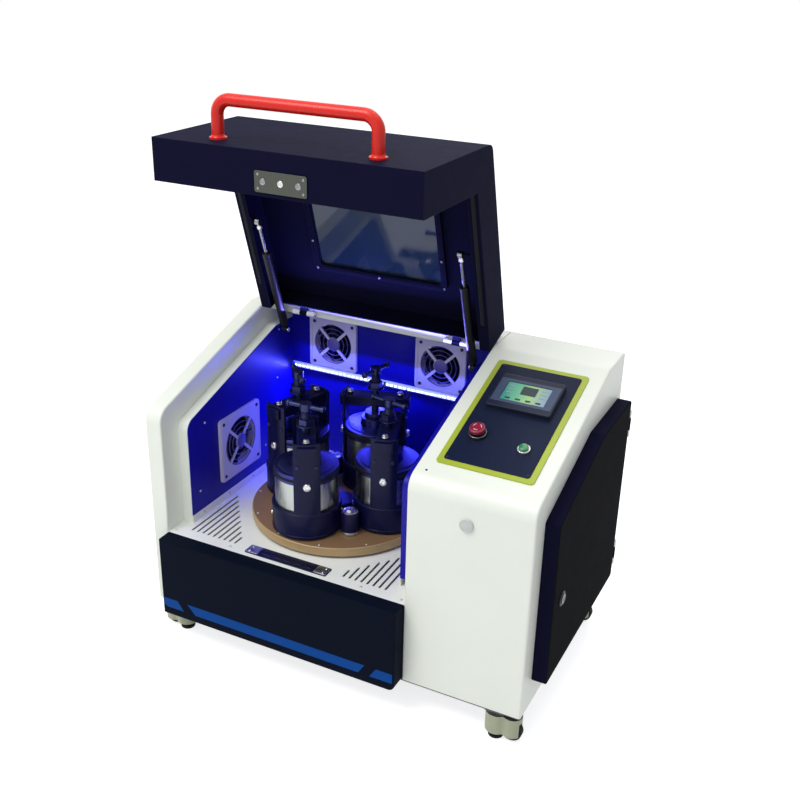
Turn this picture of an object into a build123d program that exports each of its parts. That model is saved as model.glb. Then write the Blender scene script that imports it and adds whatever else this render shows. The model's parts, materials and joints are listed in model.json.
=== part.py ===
from build123d import *
from math import acos, atan, cos, hypot, pi, radians, sin, tan
import os

# Planetary ball mill: cabinet, hinged hood, geared turntable and four clamped grinding jars.

os.makedirs("parts", exist_ok=True)

# ---------------------------------------------------------------- driving sizes, in millimetres

# Body
body_width = 900
body_depth = 524
caster_height = 74
bend_height = 483
body_height = 615
crest_depth = 110
cabinet_width = 265
cheek_lip = 41
ledge_width = 25
cabinet_ledge = 39
recess_depth = 58
sheet = 3
liner_sheet = 2
floor_plate = 5
bend_radius = 36
edge_radius = 4
wall_gap = 24

# Deck and front panel
deck_height = 192
curb_height = 18
curb_sheet = 2.5
front_panel_depth = 38
front_panel_corner = 14
vent_count = 9
vent_pitch = 14.4
vent_width = 5
vent_longest = 182
vent_shortest = 30

# Hood
hood_proud = 30
hood_seal_gap = 2
hood_side_gap = 1
hood_front_gap = 5
hood_hinge_gap = 36
hood_end_depth = 60
hood_sheet = 3
hood_flange = 25
hood_bend_radius = 22
hood_open_angle = 90
hinge_margin = 86
hinge_drop = 18
hinge_rail = 26
hinge_pin_radius = 4
hinge_barrel_radius = 7
hinge_spacing = 400
hinge_length = 60
window_width = 312
window_length = 260
window_start = 95
window_rebate = 10
glass_thickness = 4
bezel_width = 14
handle_width = 352
handle_height = 76
handle_tube = 25
handle_rise = 54
handle_corner = 30

# Gas struts
strut_inset = 15
strut_foot_margin = 84
strut_foot_drop = 70
strut_head_reach = 238
strut_head_inset = 49
strut_tube = 20
strut_rod = 8
strut_tube_length = 205
strut_eye_radius = 8
strut_eye_width = 10
strut_pin_radius = 4

# Drive
turntable_radius = 208
table_clearance = 20
turntable_thickness = 20
turntable_lift = 6
spindle_radius = 20
gear_module = 4
sun_teeth = 44
planet_teeth = 20
gear_face = 22
gear_height = 150
gear_backlash = 0.5
planet_shaft_radius = 12.5
fit_gap = 0.05
running_gap = 0.3
bridge_height = 70
bridge_size = 270
pillar_radius = 14
belt_width = 30
belt_thickness = 5
belt_height = 24
driven_pulley_radius = 80
motor_pulley_radius = 32
motor_radius = 70
motor_length = 190

# Jar stations
station_count = 4
station_phase = -98
seat_turns = (40, -62, -62, -97)
seat_radius = 77
seat_wall = 4
seat_floor = 12
cup_height = 62
upright_height = 230
upright_width = 58
jar_radius = 70
jar_height = 118
jar_wall = 8
jar_lid_height = 20
jar_boss_height = 20
clamp_bar_width = 40
clamp_bar_height = 22
clamp_bar_overhang = 6
clamp_bar_drop = 6
screw_radius = 9
screw_rise = 72
tommy_length = 80
tommy_radius = 5
post_radius = 20
post_height = 52
post_orbit = 137

# Fans
rear_fan_size = 131
side_fan_size = 160
fan_spacing = 290
fan_shift = -7
fan_drop = 108
fan_plate = 6
fan_barrel_depth = 14
side_fan_back = 248
side_fan_rise = 322
led_drop = 188

# Control panel
panel_width = 178
panel_length = 310
panel_start = 72
panel_thickness = 4
panel_border = 12
screen_width = 138
screen_height = 104
screen_thickness = 11
screen_along = 290
display_width = 95
display_height = 57
estop_across = -51
estop_along = 156
start_across = 52
start_along = 140
button_travel = 5

# Side door
door_thickness = 31
door_front = 52
door_rear_margin = 16
door_bottom = 64
door_top_margin = 99
door_margin = 65
door_lap = 24
door_sheet = 3
lock_projection = 4
lock_back = 54
lock_rise = 178

# Casters
caster_side_inset = 58
caster_end_inset = 27
caster_wheel_radius = 23
caster_wheel_width = 18
caster_offset = 34
caster_plate = 46
caster_plate_sheet = 3
caster_pad_radius = 16
kingpin_radius = 6
kingpin_length = 11

# Rear fittings
rear_projection = 6

# ---------------------------------------------------------------- places worked out from them

left_x = -(body_width + door_thickness + lock_projection) / 2
right_x = left_x + body_width
face_y = (front_panel_depth - body_depth - rear_projection) / 2
rear_y = face_y + body_depth
base_z = caster_height
shell_z = base_z + floor_plate
bend_z = base_z + bend_height
top_z = base_z + body_height
deck_z = base_z + deck_height
slope = atan((body_height - bend_height) / (body_depth - crest_depth))

hood_left = left_x + cheek_lip
hood_right = right_x - cabinet_width
chamber_left = hood_left + ledge_width
cabinet_left = hood_right - ledge_width
chamber_right = hood_right - cabinet_ledge
mill_x = (hood_left + hood_right) / 2
wall_y = rear_y - wall_gap
mill_y = wall_y - liner_sheet - table_clearance - turntable_radius

hinge_y = rear_y - hinge_margin
hinge_z = top_z - hinge_drop
rail_y = hinge_y + hinge_barrel_radius
rail_z = top_z - hinge_rail
curb_z = deck_z + curb_height
hood_rear = body_depth - hinge_margin - hood_hinge_gap
hood_inner = recess_depth - hood_seal_gap
hood_open = radians(hood_open_angle)

turntable_z = deck_z + turntable_lift
table_top = turntable_z + turntable_thickness
gear_z = base_z + gear_height
orbit_radius = gear_module * (sun_teeth + planet_teeth) / 2
seat_z = table_top + 4
jar_z = seat_z + seat_floor
jar_top = jar_z + jar_height
boss_top = jar_top + jar_lid_height + jar_boss_height
upright_top = seat_z + upright_height
clamp_z = upright_top - clamp_bar_drop - clamp_bar_height
clamp_bar_reach = seat_radius + clamp_bar_overhang
belt_z = base_z + belt_height
bridge_z = base_z + bridge_height
cabinet_x = (hood_right + right_x) / 2
motor_x = cabinet_x

strut_left_x = chamber_left + liner_sheet + strut_inset
strut_right_x = chamber_right - strut_inset
strut_y = rear_y - strut_foot_margin
strut_z = top_z - strut_foot_drop
rear_fan_z = top_z - fan_drop
rear_fan_points = (mill_x + fan_shift - fan_spacing / 2, mill_x + fan_shift + fan_spacing / 2)
outer_x = right_x + door_thickness
door_rear = body_depth - door_rear_margin
door_height = body_height - door_top_margin
lock_at = (face_y + door_front + lock_back, base_z + door_bottom + lock_rise)
caster_points = [
    (x, y)
    for x in (left_x + caster_side_inset, right_x - caster_side_inset)
    for y in (face_y + caster_end_inset, rear_y - caster_end_inset)
]


# ---------------------------------------------------------------- shared shapes

def save(builder, name):
    """Label a finished piece and write its STEP file."""
    builder.part.label = name
    export_step(builder.part, f"parts/{name}.step")


def slope_z(y, inset):
    """Height of the sloping front at depth y, inset square to its surface."""
    return bend_z + (y - face_y) * tan(slope) - inset / cos(slope)


def slope_y(z, inset):
    """Depth at which the sloping front, inset square to its surface, reaches height z."""
    return face_y + (z - bend_z + inset / cos(slope)) / tan(slope)


def side_face(x, inset, bottom, rear, radius):
    """Side profile of the body at x, inset square to its surface, with rounded bends."""
    front = face_y + inset
    top = top_z - inset
    bend = (front, slope_z(front, inset))
    crest = (slope_y(top, inset), top)
    with BuildSketch(Plane.YZ.offset(x)) as face:
        with BuildLine():
            Polyline((front, bottom), bend, crest, (rear, top), (rear, bottom), close=True)
        make_face()
        for corner in (bend, crest):
            fillet(face.vertices().sort_by_distance((*corner, 0))[0:1], radius=radius)
    return face.sketch


def panel_plane(across, along, lift=0):
    """Plane on the cabinet's sloping front, a distance along it from the bend."""
    y = face_y + along * cos(slope) - lift * sin(slope)
    z = bend_z + along * sin(slope) + lift * cos(slope)
    return Plane(origin=(across, y, z), x_dir=(1, 0, 0), z_dir=(0, -sin(slope), cos(slope)))


def opened(y, z):
    """Turn a point of the closed hood about its hinge to the open position."""
    dy = y - hinge_y
    dz = z - hinge_z
    turned_y = dy * cos(hood_open) + dz * sin(hood_open)
    turned_z = dz * cos(hood_open) - dy * sin(hood_open)
    return hinge_y + turned_y, hinge_z + turned_z


def hood_plane(across, along, depth):
    """Plane on the open hood's sloping skin, a distance along it from the bend and below its surface."""
    bend_y = face_y - hood_proud
    surface_y = bend_y + along * cos(slope) + depth * sin(slope)
    surface_z = slope_z(bend_y, -hood_proud) + along * sin(slope) - depth * cos(slope)
    y, z = opened(surface_y, surface_z)
    lean = slope - hood_open
    return Plane(origin=(across, y, z), x_dir=(1, 0, 0), z_dir=(0, -sin(lean), cos(lean)))


def hood_face(x, outer, inner, bottom, trim, radius):
    """L-shaped section of the open hood between two insets from the body's surface."""
    end_y = face_y + hood_rear - trim * cos(slope)
    end_z = slope_z(face_y + hood_rear, -hood_proud) - trim * sin(slope)
    outer_end = (end_y + (outer + hood_proud) * sin(slope), end_z - (outer + hood_proud) * cos(slope))
    inner_end = (end_y + (inner + hood_proud) * sin(slope), end_z - (inner + hood_proud) * cos(slope))
    outer_bend = (face_y + outer, slope_z(face_y + outer, outer))
    inner_bend = (face_y + inner, slope_z(face_y + inner, inner))
    outline = [
        (face_y + outer, bottom),
        outer_bend,
        outer_end,
        inner_end,
        inner_bend,
        (face_y + inner, bottom),
    ]
    corner = opened(*outer_bend)
    with BuildSketch(Plane.YZ.offset(x)) as face:
        with BuildLine():
            Polyline(*[opened(y, z) for y, z in outline], close=True)
        make_face()
        fillet(face.vertices().sort_by_distance((*corner, 0))[0:1], radius=radius)
    return face.sketch


def gear_outline(teeth, backlash):
    """Points of a spur gear with involute flanks, one tooth centred on the local X axis."""
    pressure = radians(20)
    pitch = gear_module * teeth / 2
    base = pitch * cos(pressure)
    root = pitch - 1.25 * gear_module
    tip = pitch + gear_module
    involute = tan(pressure) - pressure
    half_pitch_angle = (pi * gear_module / 2 - backlash / 2) / (2 * pitch)

    def half_angle(radius):
        if radius <= base:
            return half_pitch_angle + involute
        roll = acos(base / radius)
        return half_pitch_angle + involute - (tan(roll) - roll)

    radii = (root, max(base, root), pitch, tip)
    points = []
    for tooth in range(teeth):
        centre = 2 * pi * tooth / teeth
        flank = [(radius, half_angle(radius)) for radius in radii]
        points += [(r * cos(centre - a), r * sin(centre - a)) for r, a in flank]
        points += [(r * cos(centre + a), r * sin(centre + a)) for r, a in reversed(flank)]
    return points


def station_angle(index):
    """Direction of a jar station from the turntable's axis, in degrees."""
    return station_phase + index * 360 / station_count


def station_plane(index, height, turn=0):
    """Plane square to a jar station's axis, turned about it."""
    around = radians(station_angle(index))
    facing = radians(station_angle(index) + turn)
    return Plane(
        origin=(mill_x + orbit_radius * cos(around), mill_y + orbit_radius * sin(around), height),
        x_dir=(cos(facing), sin(facing), 0),
        z_dir=(0, 0, 1),
    )


def tube_bar(corners, radius, corner_radius):
    """Round bar following a bent path."""
    with BuildLine() as path:
        FilletPolyline(*corners, radius=corner_radius)
    with BuildSketch(Plane(origin=path.line @ 0, z_dir=path.line % 0)) as section:
        Circle(radius)
    return sweep(section.sketch, path=path.line)


# ---------------------------------------------------------------- base frame

pillar_pitch = bridge_size - 50

with BuildPart() as base_frame:
    with BuildSketch(Plane.XY.offset(base_z)):
        with Locations((left_x + body_width / 2, face_y + body_depth / 2)):
            RectangleRounded(body_width - 2 * sheet, body_depth - 2 * sheet, 8)
    extrude(amount=floor_plate)
    with BuildSketch(Plane.XY.offset(shell_z)):
        with Locations((mill_x, mill_y)):
            with GridLocations(pillar_pitch, pillar_pitch, 2, 2):
                Circle(pillar_radius)
    extrude(amount=bridge_z - shell_z)
    with BuildSketch(Plane.XY.offset(base_z - caster_plate_sheet)):
        with Locations(*caster_points):
            RectangleRounded(caster_plate, caster_plate, 5)
    extrude(amount=caster_plate_sheet)
    with BuildSketch(Plane.XY.offset(base_z - caster_plate_sheet)):
        with Locations(*caster_points):
            Circle(kingpin_radius)
    extrude(amount=-kingpin_length)
save(base_frame, "base_frame")

# ---------------------------------------------------------------- left cheek

fan_opening = 0.78 * rear_fan_size
side_opening = 0.76 * side_fan_size
fan_sleeve = 2
side_fan_y = face_y + side_fan_back
side_fan_z = base_z + side_fan_rise
cheek_top = top_z - recess_depth


def exposed_edges(housing):
    """Outline edges of a housing's two side faces, without those along its floor and rear."""
    outlines = housing.faces().filter_by(Axis.X).edges()
    return outlines.filter_by(lambda e: e.center().Z > shell_z + 1 and e.center().Y < rear_y - 1)


with BuildPart() as left_cheek:
    extrude(side_face(left_x, 0, shell_z, rear_y, bend_radius), amount=cheek_lip)
    fillet(exposed_edges(left_cheek), edge_radius)
    extrude(side_face(hood_left - 1, recess_depth, shell_z, rear_y, bend_radius - 6), amount=ledge_width + 1)
    extrude(
        side_face(left_x + sheet, sheet, shell_z, rear_y - sheet, bend_radius - sheet),
        amount=cheek_lip - 2 * sheet,
        mode=Mode.SUBTRACT,
    )
    extrude(
        side_face(hood_left - sheet - 1, recess_depth + sheet, shell_z, rear_y - sheet, bend_radius - 9),
        amount=ledge_width + 1,
        mode=Mode.SUBTRACT,
    )
    with BuildSketch(Plane.YZ.offset(chamber_left)):
        with Locations((side_fan_y, side_fan_z)):
            Circle(side_opening / 2 + fan_sleeve + running_gap)
    extrude(amount=-2 * sheet, mode=Mode.SUBTRACT)
save(left_cheek, "left_cheek")

# ---------------------------------------------------------------- control cabinet

estop_at = (cabinet_x + estop_across, estop_along)
start_at = (cabinet_x + start_across, start_along)
screen_at = (cabinet_x, screen_along)
button_bore = 11.2
door_hinge_x = right_x + door_thickness - 5
door_hinge_y = face_y + door_rear + 7
door_barrel = 6
door_pin = 3
door_hinge_heights = (base_z + door_bottom + 60, base_z + door_height - 60)
door_hinge_length = 46
belt_slot = 2 * driven_pulley_radius + 30


def door_outline(x, inset):
    """Door outline on the cabinet's right side, inset from its edges."""
    front = face_y + door_front + inset
    rear = face_y + door_rear - inset
    bottom = base_z + door_bottom + inset
    top = base_z + door_height - inset
    start = bend_z - door_margin + (front - face_y) * tan(slope) - inset / cos(slope)
    crest = face_y + (top - bend_z + door_margin + inset / cos(slope)) / tan(slope)
    with BuildSketch(Plane.YZ.offset(x)) as face:
        with BuildLine():
            Polyline((front, bottom), (front, start), (crest, top), (rear, top), (rear, bottom), close=True)
        make_face()
        fillet(face.vertices(), radius=8)
    return face.sketch


with BuildPart() as control_cabinet:
    extrude(side_face(hood_right, 0, shell_z, rear_y, bend_radius), amount=cabinet_width)
    fillet(exposed_edges(control_cabinet), edge_radius)
    extrude(side_face(cabinet_left, recess_depth, shell_z, rear_y, bend_radius - 6), amount=ledge_width + 1)
    extrude(
        side_face(hood_right + sheet, sheet, shell_z, rear_y - sheet, bend_radius - sheet),
        amount=cabinet_width - 2 * sheet,
        mode=Mode.SUBTRACT,
    )
    extrude(
        side_face(cabinet_left + sheet, recess_depth + sheet, shell_z, rear_y - sheet, bend_radius - 9),
        amount=ledge_width + 1,
        mode=Mode.SUBTRACT,
    )
    extrude(door_outline(right_x + 1, door_lap), amount=-3 * sheet, mode=Mode.SUBTRACT)
    with BuildSketch(Plane.YZ.offset(cabinet_left)):
        with Locations((mill_y, belt_z + belt_width / 2 - 2)):
            Rectangle(belt_slot, belt_width + 24)
    extrude(amount=2 * sheet, mode=Mode.SUBTRACT)
    for across, along in (estop_at, start_at):
        with BuildSketch(panel_plane(across, along, sheet)):
            Circle(button_bore)
        extrude(amount=-4 * sheet, mode=Mode.SUBTRACT)
    for height in door_hinge_heights:
        for shift in (-door_hinge_length / 2, door_hinge_length / 2):
            with BuildSketch(Plane.XY.offset(height + shift - 8)):
                with Locations((door_hinge_x, door_hinge_y)):
                    Circle(door_barrel)
                with Locations((right_x, door_hinge_y)):
                    Rectangle(door_hinge_x - right_x, 6, align=(Align.MIN, Align.CENTER))
            extrude(amount=16)
        with BuildSketch(Plane.XY.offset(height - door_hinge_length / 2)):
            with Locations((door_hinge_x, door_hinge_y)):
                Circle(door_pin)
        extrude(amount=door_hinge_length)
save(control_cabinet, "control_cabinet")

# ---------------------------------------------------------------- rear panel and hinge rail

hinge_points = (mill_x - hinge_spacing / 2, mill_x + hinge_spacing / 2)
knuckle_length = hinge_length / 3
knuckle_gap = 0.2
knuckle_radius = hinge_barrel_radius - 0.4

with BuildPart() as rear_panel:
    with BuildSketch(Plane.XY.offset(rail_z)):
        with Locations(((hood_left + hood_right) / 2, (rail_y + rear_y) / 2)):
            Rectangle(hood_right - hood_left, rear_y - rail_y)
    extrude(amount=top_z - rail_z)
    with BuildSketch(Plane.XY.offset(rail_z)):
        with Locations(((hood_left + hood_right) / 2, (rail_y + rear_y) / 2)):
            Rectangle(hood_right - hood_left - 2 * sheet, rear_y - rail_y - 2 * sheet)
    extrude(amount=top_z - rail_z - sheet, mode=Mode.SUBTRACT)
    with BuildSketch(Plane.XZ.offset(-rear_y)):
        with BuildLine():
            Polyline(
                (chamber_left, shell_z),
                (cabinet_left, shell_z),
                (cabinet_left, cheek_top),
                (hood_right, cheek_top),
                (hood_right, rail_z),
                (hood_left, rail_z),
                (hood_left, cheek_top),
                (chamber_left, cheek_top),
                close=True,
            )
        make_face()
    extrude(amount=sheet)
    with BuildSketch(Plane.XZ.offset(-rear_y)):
        for x in rear_fan_points:
            with Locations((x, rear_fan_z)):
                with GridLocations(1, 16, 1, 5):
                    SlotOverall(90, 7)
    extrude(amount=sheet, mode=Mode.SUBTRACT)
    for x in hinge_points:
        for shift in (-knuckle_length, knuckle_length):
            with BuildSketch(Plane.YZ.offset(x + shift - knuckle_length / 2 + knuckle_gap)):
                with Locations((hinge_y, hinge_z)):
                    Circle(knuckle_radius)
                    Rectangle(hinge_barrel_radius, 2 * knuckle_radius, align=(Align.MIN, Align.CENTER))
            extrude(amount=knuckle_length - 2 * knuckle_gap)
        with BuildSketch(Plane.YZ.offset(x - knuckle_length)):
            with Locations((hinge_y, hinge_z)):
                Circle(hinge_pin_radius)
        extrude(amount=2 * knuckle_length)
save(rear_panel, "rear_panel")

# ---------------------------------------------------------------- deck, latch receiver and front panel

curb_front = face_y + recess_depth
deck_hole = turntable_radius - 20

with BuildPart() as deck_plate:
    with BuildSketch(Plane.XY.offset(deck_z)):
        with BuildLine():
            Polyline(
                (hood_left, face_y),
                (hood_right, face_y),
                (hood_right, curb_front),
                (cabinet_left, curb_front),
                (cabinet_left, wall_y),
                (chamber_left, wall_y),
                (chamber_left, curb_front),
                (hood_left, curb_front),
                close=True,
            )
        make_face()
        with Locations((mill_x, mill_y)):
            Circle(deck_hole, mode=Mode.SUBTRACT)
        for row in range(vent_count):
            length = vent_longest - row * (vent_longest - vent_shortest) / (vent_count - 1)
            left_slot = chamber_left + 19 + row * vent_pitch
            with Locations((left_slot, face_y + 30 + length / 2)):
                SlotOverall(length, vent_width, rotation=90, mode=Mode.SUBTRACT)
            if row > 0:
                with Locations((2 * mill_x - left_slot, face_y + 30 + length / 2)):
                    SlotOverall(length, vent_width, rotation=90, mode=Mode.SUBTRACT)
    extrude(amount=-sheet)
    with BuildSketch(Plane.XY.offset(deck_z)):
        with Locations((chamber_left, curb_front)):
            Rectangle(curb_sheet, wall_y - curb_front, align=(Align.MIN, Align.MIN))
        with Locations((chamber_right, curb_front)):
            Rectangle(curb_sheet, wall_y - curb_front, align=(Align.MIN, Align.MIN))
        with Locations((chamber_left, wall_y)):
            Rectangle(chamber_right - chamber_left, curb_sheet, align=(Align.MIN, Align.MAX))
    extrude(amount=curb_height)
    with BuildSketch(Plane.XY.offset(deck_z - sheet)):
        with Locations((hood_left + 6, face_y)):
            Rectangle(hood_right - hood_left - 12, sheet, align=(Align.MIN, Align.MIN))
    extrude(amount=-22)
save(deck_plate, "deck_plate")

receiver_width = 204
receiver_depth = 31
receiver_sheet = 2
receiver_back = 11

with BuildPart() as latch_receiver:
    with BuildSketch(Plane.XY.offset(deck_z)):
        with Locations((mill_x + 3, face_y + receiver_back + receiver_depth / 2)):
            RectangleRounded(receiver_width, receiver_depth, 3)
            RectangleRounded(receiver_width - 64, receiver_depth - 13, 2, mode=Mode.SUBTRACT)
            with GridLocations(receiver_width - 20, 1, 2, 1):
                Circle(2.6, mode=Mode.SUBTRACT)
    extrude(amount=receiver_sheet)
save(latch_receiver, "latch_receiver")

panel_left = hood_left + 2
panel_bottom = base_z - 2
panel_sheet = 2.5

with BuildPart() as front_panel:
    with BuildSketch(Plane.XZ.offset(-face_y)):
        with BuildLine():
            Polyline(
                (panel_left, panel_bottom),
                (hood_right, panel_bottom),
                (hood_right, deck_z),
                (panel_left, deck_z),
                close=True,
            )
        make_face()
    extrude(amount=front_panel_depth)
    upright_edges = front_panel.edges().filter_by(Axis.Y)
    fillet(upright_edges.group_by(Axis.Z)[0].sort_by(Axis.X)[-1:], front_panel_corner)
    fillet(front_panel.faces().sort_by(Axis.Y)[0].edges(), 3)
    with BuildSketch(Plane.XZ.offset(-face_y)):
        with Locations(((panel_left + hood_right) / 2, (panel_bottom + deck_z) / 2)):
            RectangleRounded(
                hood_right - panel_left - 2 * panel_sheet,
                deck_z - panel_bottom - 2 * panel_sheet,
                front_panel_corner - panel_sheet,
            )
    extrude(amount=front_panel_depth - panel_sheet, mode=Mode.SUBTRACT)
save(front_panel, "front_panel")

# ---------------------------------------------------------------- chamber liner

fan_hole = fan_opening / 2 + fan_sleeve + running_gap
side_hole = side_opening / 2 + fan_sleeve + running_gap
strut_sides = (
    (chamber_left + liner_sheet, strut_left_x, 1),
    (chamber_right, strut_right_x, -1),
)

with BuildPart() as chamber_liner:
    extrude(
        side_face(chamber_left, recess_depth + 1, curb_z, wall_y, bend_radius - 8),
        amount=liner_sheet,
    )
    extrude(
        side_face(chamber_right, recess_depth + 1, curb_z, wall_y, bend_radius - 8),
        amount=cabinet_left - chamber_right,
    )
    extrude(
        side_face(
            chamber_right + liner_sheet,
            recess_depth + 1 + liner_sheet,
            curb_z + liner_sheet,
            wall_y - liner_sheet,
            bend_radius - 10,
        ),
        amount=cabinet_left - chamber_right,
        mode=Mode.SUBTRACT,
    )
    with BuildSketch(Plane.XZ.offset(-wall_y)):
        with Locations((chamber_left, curb_z)):
            Rectangle(cabinet_left - chamber_left, top_z - sheet - curb_z, align=(Align.MIN, Align.MIN))
    extrude(amount=liner_sheet)
    with BuildSketch(Plane.XZ.offset(-wall_y)):
        with Locations(*[(x, rear_fan_z) for x in rear_fan_points]):
            Circle(fan_hole)
    extrude(amount=liner_sheet, mode=Mode.SUBTRACT)
    with BuildSketch(Plane.YZ.offset(chamber_left)):
        with Locations((side_fan_y, side_fan_z)):
            Circle(side_hole)
    extrude(amount=liner_sheet, mode=Mode.SUBTRACT)
    for wall_x, strut_x, side in strut_sides:
        with BuildSketch(Plane.YZ.offset(wall_x)):
            with Locations((strut_y, strut_z)):
                RectangleRounded(30, 22, 4)
        extrude(amount=3 * side)
        with BuildSketch(Plane.YZ.offset(wall_x)):
            with Locations((strut_y, strut_z)):
                Circle(strut_pin_radius)
        extrude(amount=side * (abs(strut_x - wall_x) + strut_eye_width / 2 + 2))
save(chamber_liner, "chamber_liner")

led_height = 12
led_depth = 8

with BuildPart() as led_strip:
    with BuildSketch(Plane.XZ.offset(liner_sheet - wall_y)):
        with Locations(((chamber_left + liner_sheet + chamber_right) / 2, top_z - led_drop)):
            Rectangle(chamber_right - chamber_left - liner_sheet - 2, led_height, align=(Align.CENTER, Align.MIN))
    extrude(amount=led_depth)
    fillet(led_strip.faces().sort_by(Axis.Y)[0].edges().filter_by(Axis.X), 3)
save(led_strip, "led_strip")

# ---------------------------------------------------------------- fans

rear_left_fan = Plane((rear_fan_points[0], wall_y - liner_sheet, rear_fan_z), (1, 0, 0), (0, -1, 0))
rear_right_fan = Plane((rear_fan_points[1], wall_y - liner_sheet, rear_fan_z), (1, 0, 0), (0, -1, 0))
side_fan = Plane((chamber_left + liner_sheet, side_fan_y, side_fan_z), (0, 1, 0), (1, 0, 0))
fan_planes = (
    ("fan_rotor_rear_left", rear_left_fan, rear_fan_size, fan_opening),
    ("fan_rotor_rear_right", rear_right_fan, rear_fan_size, fan_opening),
    ("fan_rotor_side", side_fan, side_fan_size, side_opening),
)
fan_sleeve_depth = 18
fan_hub_radius = 17
fan_pin_radius = 3
fan_pin_depth = 13
blade_count = 7
blade_chord = 15
blade_thickness = 1.6
blade_pitch = 35
blade_depth = 7
guard_sheet = 3
guard_back = fan_plate - guard_sheet

with BuildPart() as fan_frames:
    for name, plane, size, opening in fan_planes:
        with BuildSketch(plane):
            RectangleRounded(size, size, 8)
            Circle(opening / 2, mode=Mode.SUBTRACT)
        extrude(amount=fan_plate)
        with BuildSketch(plane):
            Circle(opening / 2 + fan_sleeve)
            Circle(opening / 2, mode=Mode.SUBTRACT)
        extrude(amount=-fan_sleeve_depth)
        with BuildSketch(plane.offset(guard_back)):
            Circle(fan_hub_radius)
            for turn in (45, 135):
                Rectangle(opening + 2, 7, rotation=turn)
        extrude(amount=guard_sheet)
        with BuildSketch(plane.offset(guard_back)):
            Circle(fan_pin_radius)
        extrude(amount=-fan_pin_depth)
save(fan_frames, "fan_frames")


def fan_rotor(plane, opening):
    """Hub and raked blades that turn on the guard's pin."""
    with BuildPart() as rotor:
        with BuildSketch(plane.offset(guard_back - running_gap)):
            Circle(fan_hub_radius - 1)
        extrude(amount=-fan_sleeve_depth)
        with BuildSketch(plane.offset(guard_back - running_gap)):
            Circle(fan_pin_radius + fit_gap)
        extrude(amount=-fan_pin_depth, mode=Mode.SUBTRACT)
        for blade in range(blade_count):
            spin = radians(blade * 360 / blade_count)
            outward = plane.x_dir * cos(spin) + plane.y_dir * sin(spin)
            around = plane.y_dir * cos(spin) - plane.x_dir * sin(spin)
            rake = radians(blade_pitch)
            chord = around * cos(rake) + plane.z_dir * sin(rake)
            root = plane.origin - plane.z_dir * blade_depth + outward * (fan_hub_radius - 4)
            with BuildSketch(Plane(origin=root, x_dir=chord, z_dir=outward)):
                Rectangle(blade_chord, blade_thickness)
            extrude(amount=opening / 2 - fan_hub_radius + 1.5)
    return rotor


for name, plane, size, opening in fan_planes:
    save(fan_rotor(plane, opening), name)

# ---------------------------------------------------------------- hood

hood_bottom = deck_z + hood_front_gap
hood_x = hood_left + hood_side_gap
hood_span = hood_right - hood_left - 2 * hood_side_gap
window_mid = window_start + window_length / 2
hood_end_rise = slope_z(face_y + hood_rear, -hood_proud) - hinge_z
arm_sheet = 5
arm_reach = hood_hinge_gap - hood_end_rise * tan(slope) + hood_sheet / 2
strut_top = opened(hinge_y - strut_head_reach, slope_z(hinge_y - strut_head_reach, strut_head_inset))
bracket_sheet = 3
bracket_size = 26
bracket_lift = strut_head_inset + 1 + bracket_size / 2 - hood_inner
stud_radius = 4.5
stud_gap = 0.6
flange_left = hood_x + hood_flange
flange_right = hood_x + hood_span - hood_flange
hood_brackets = (
    (flange_left, bracket_sheet, strut_left_x - strut_eye_width / 2 - stud_gap),
    (flange_right, -bracket_sheet, strut_right_x + strut_eye_width / 2 + stud_gap),
)
lean = slope - hood_open

with BuildPart() as lid_shell:
    extrude(hood_face(hood_x, -hood_proud, hood_inner, hood_bottom, 0, hood_bend_radius), amount=hood_span)
    extrude(
        hood_face(
            hood_x + hood_sheet,
            hood_sheet - hood_proud,
            hood_inner - hood_sheet,
            hood_bottom + hood_sheet,
            hood_sheet,
            hood_bend_radius - hood_sheet,
        ),
        amount=hood_span - 2 * hood_sheet,
        mode=Mode.SUBTRACT,
    )
    extrude(
        hood_face(
            flange_left,
            hood_inner - 2 * hood_sheet,
            hood_inner + hood_sheet,
            hood_bottom + hood_sheet,
            hood_sheet,
            6,
        ),
        amount=hood_span - 2 * hood_flange,
        mode=Mode.SUBTRACT,
    )
    with BuildSketch(hood_plane(mill_x, hood_rear / cos(slope) + 30, hood_end_depth)):
        Rectangle(hood_span - 2 * hood_flange, 60)
    extrude(amount=-60, mode=Mode.SUBTRACT)
    for x in hinge_points:
        with BuildSketch(Plane.YZ.offset(x - knuckle_length / 2 + 2 * knuckle_gap)):
            with Locations((hinge_y, hinge_z)):
                Rectangle(arm_sheet, arm_reach, align=(Align.CENTER, Align.MIN))
                Circle(knuckle_radius)
                Circle(hinge_pin_radius + fit_gap, mode=Mode.SUBTRACT)
        extrude(amount=knuckle_length - 4 * knuckle_gap)
    with BuildSketch(hood_plane(mill_x, window_mid, hood_sheet)):
        RectangleRounded(window_width + 2 * bezel_width, window_length + 2 * bezel_width, 14)
    extrude(amount=-window_rebate)
    with BuildSketch(hood_plane(mill_x, window_mid, 0)):
        RectangleRounded(window_width, window_length, 10)
    extrude(amount=-2 * window_rebate, mode=Mode.SUBTRACT)
    with BuildSketch(hood_plane(mill_x, window_mid, hood_sheet)):
        RectangleRounded(window_width + 12, window_length + 12, 12)
    extrude(amount=-glass_thickness, mode=Mode.SUBTRACT)
    with BuildSketch(hood_plane(mill_x, window_mid, hood_sheet + window_rebate)):
        with GridLocations((window_width + bezel_width) / 2, window_length + bezel_width, 3, 2):
            Circle(3.2)
        with GridLocations(window_width + bezel_width, (window_length + bezel_width) / 2, 2, 1):
            Circle(3.2)
    extrude(amount=-1.5)
    for flange_x, plate, stud_x in hood_brackets:
        bracket_plane = Plane(origin=(flange_x, *strut_top), x_dir=(0, cos(lean), sin(lean)), z_dir=(1, 0, 0))
        with BuildSketch(bracket_plane):
            with Locations((0, bracket_lift)):
                Rectangle(bracket_size, bracket_size)
        extrude(amount=plate)
        with BuildSketch(bracket_plane):
            Circle(stud_radius)
        extrude(amount=stud_x - flange_x)
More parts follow.
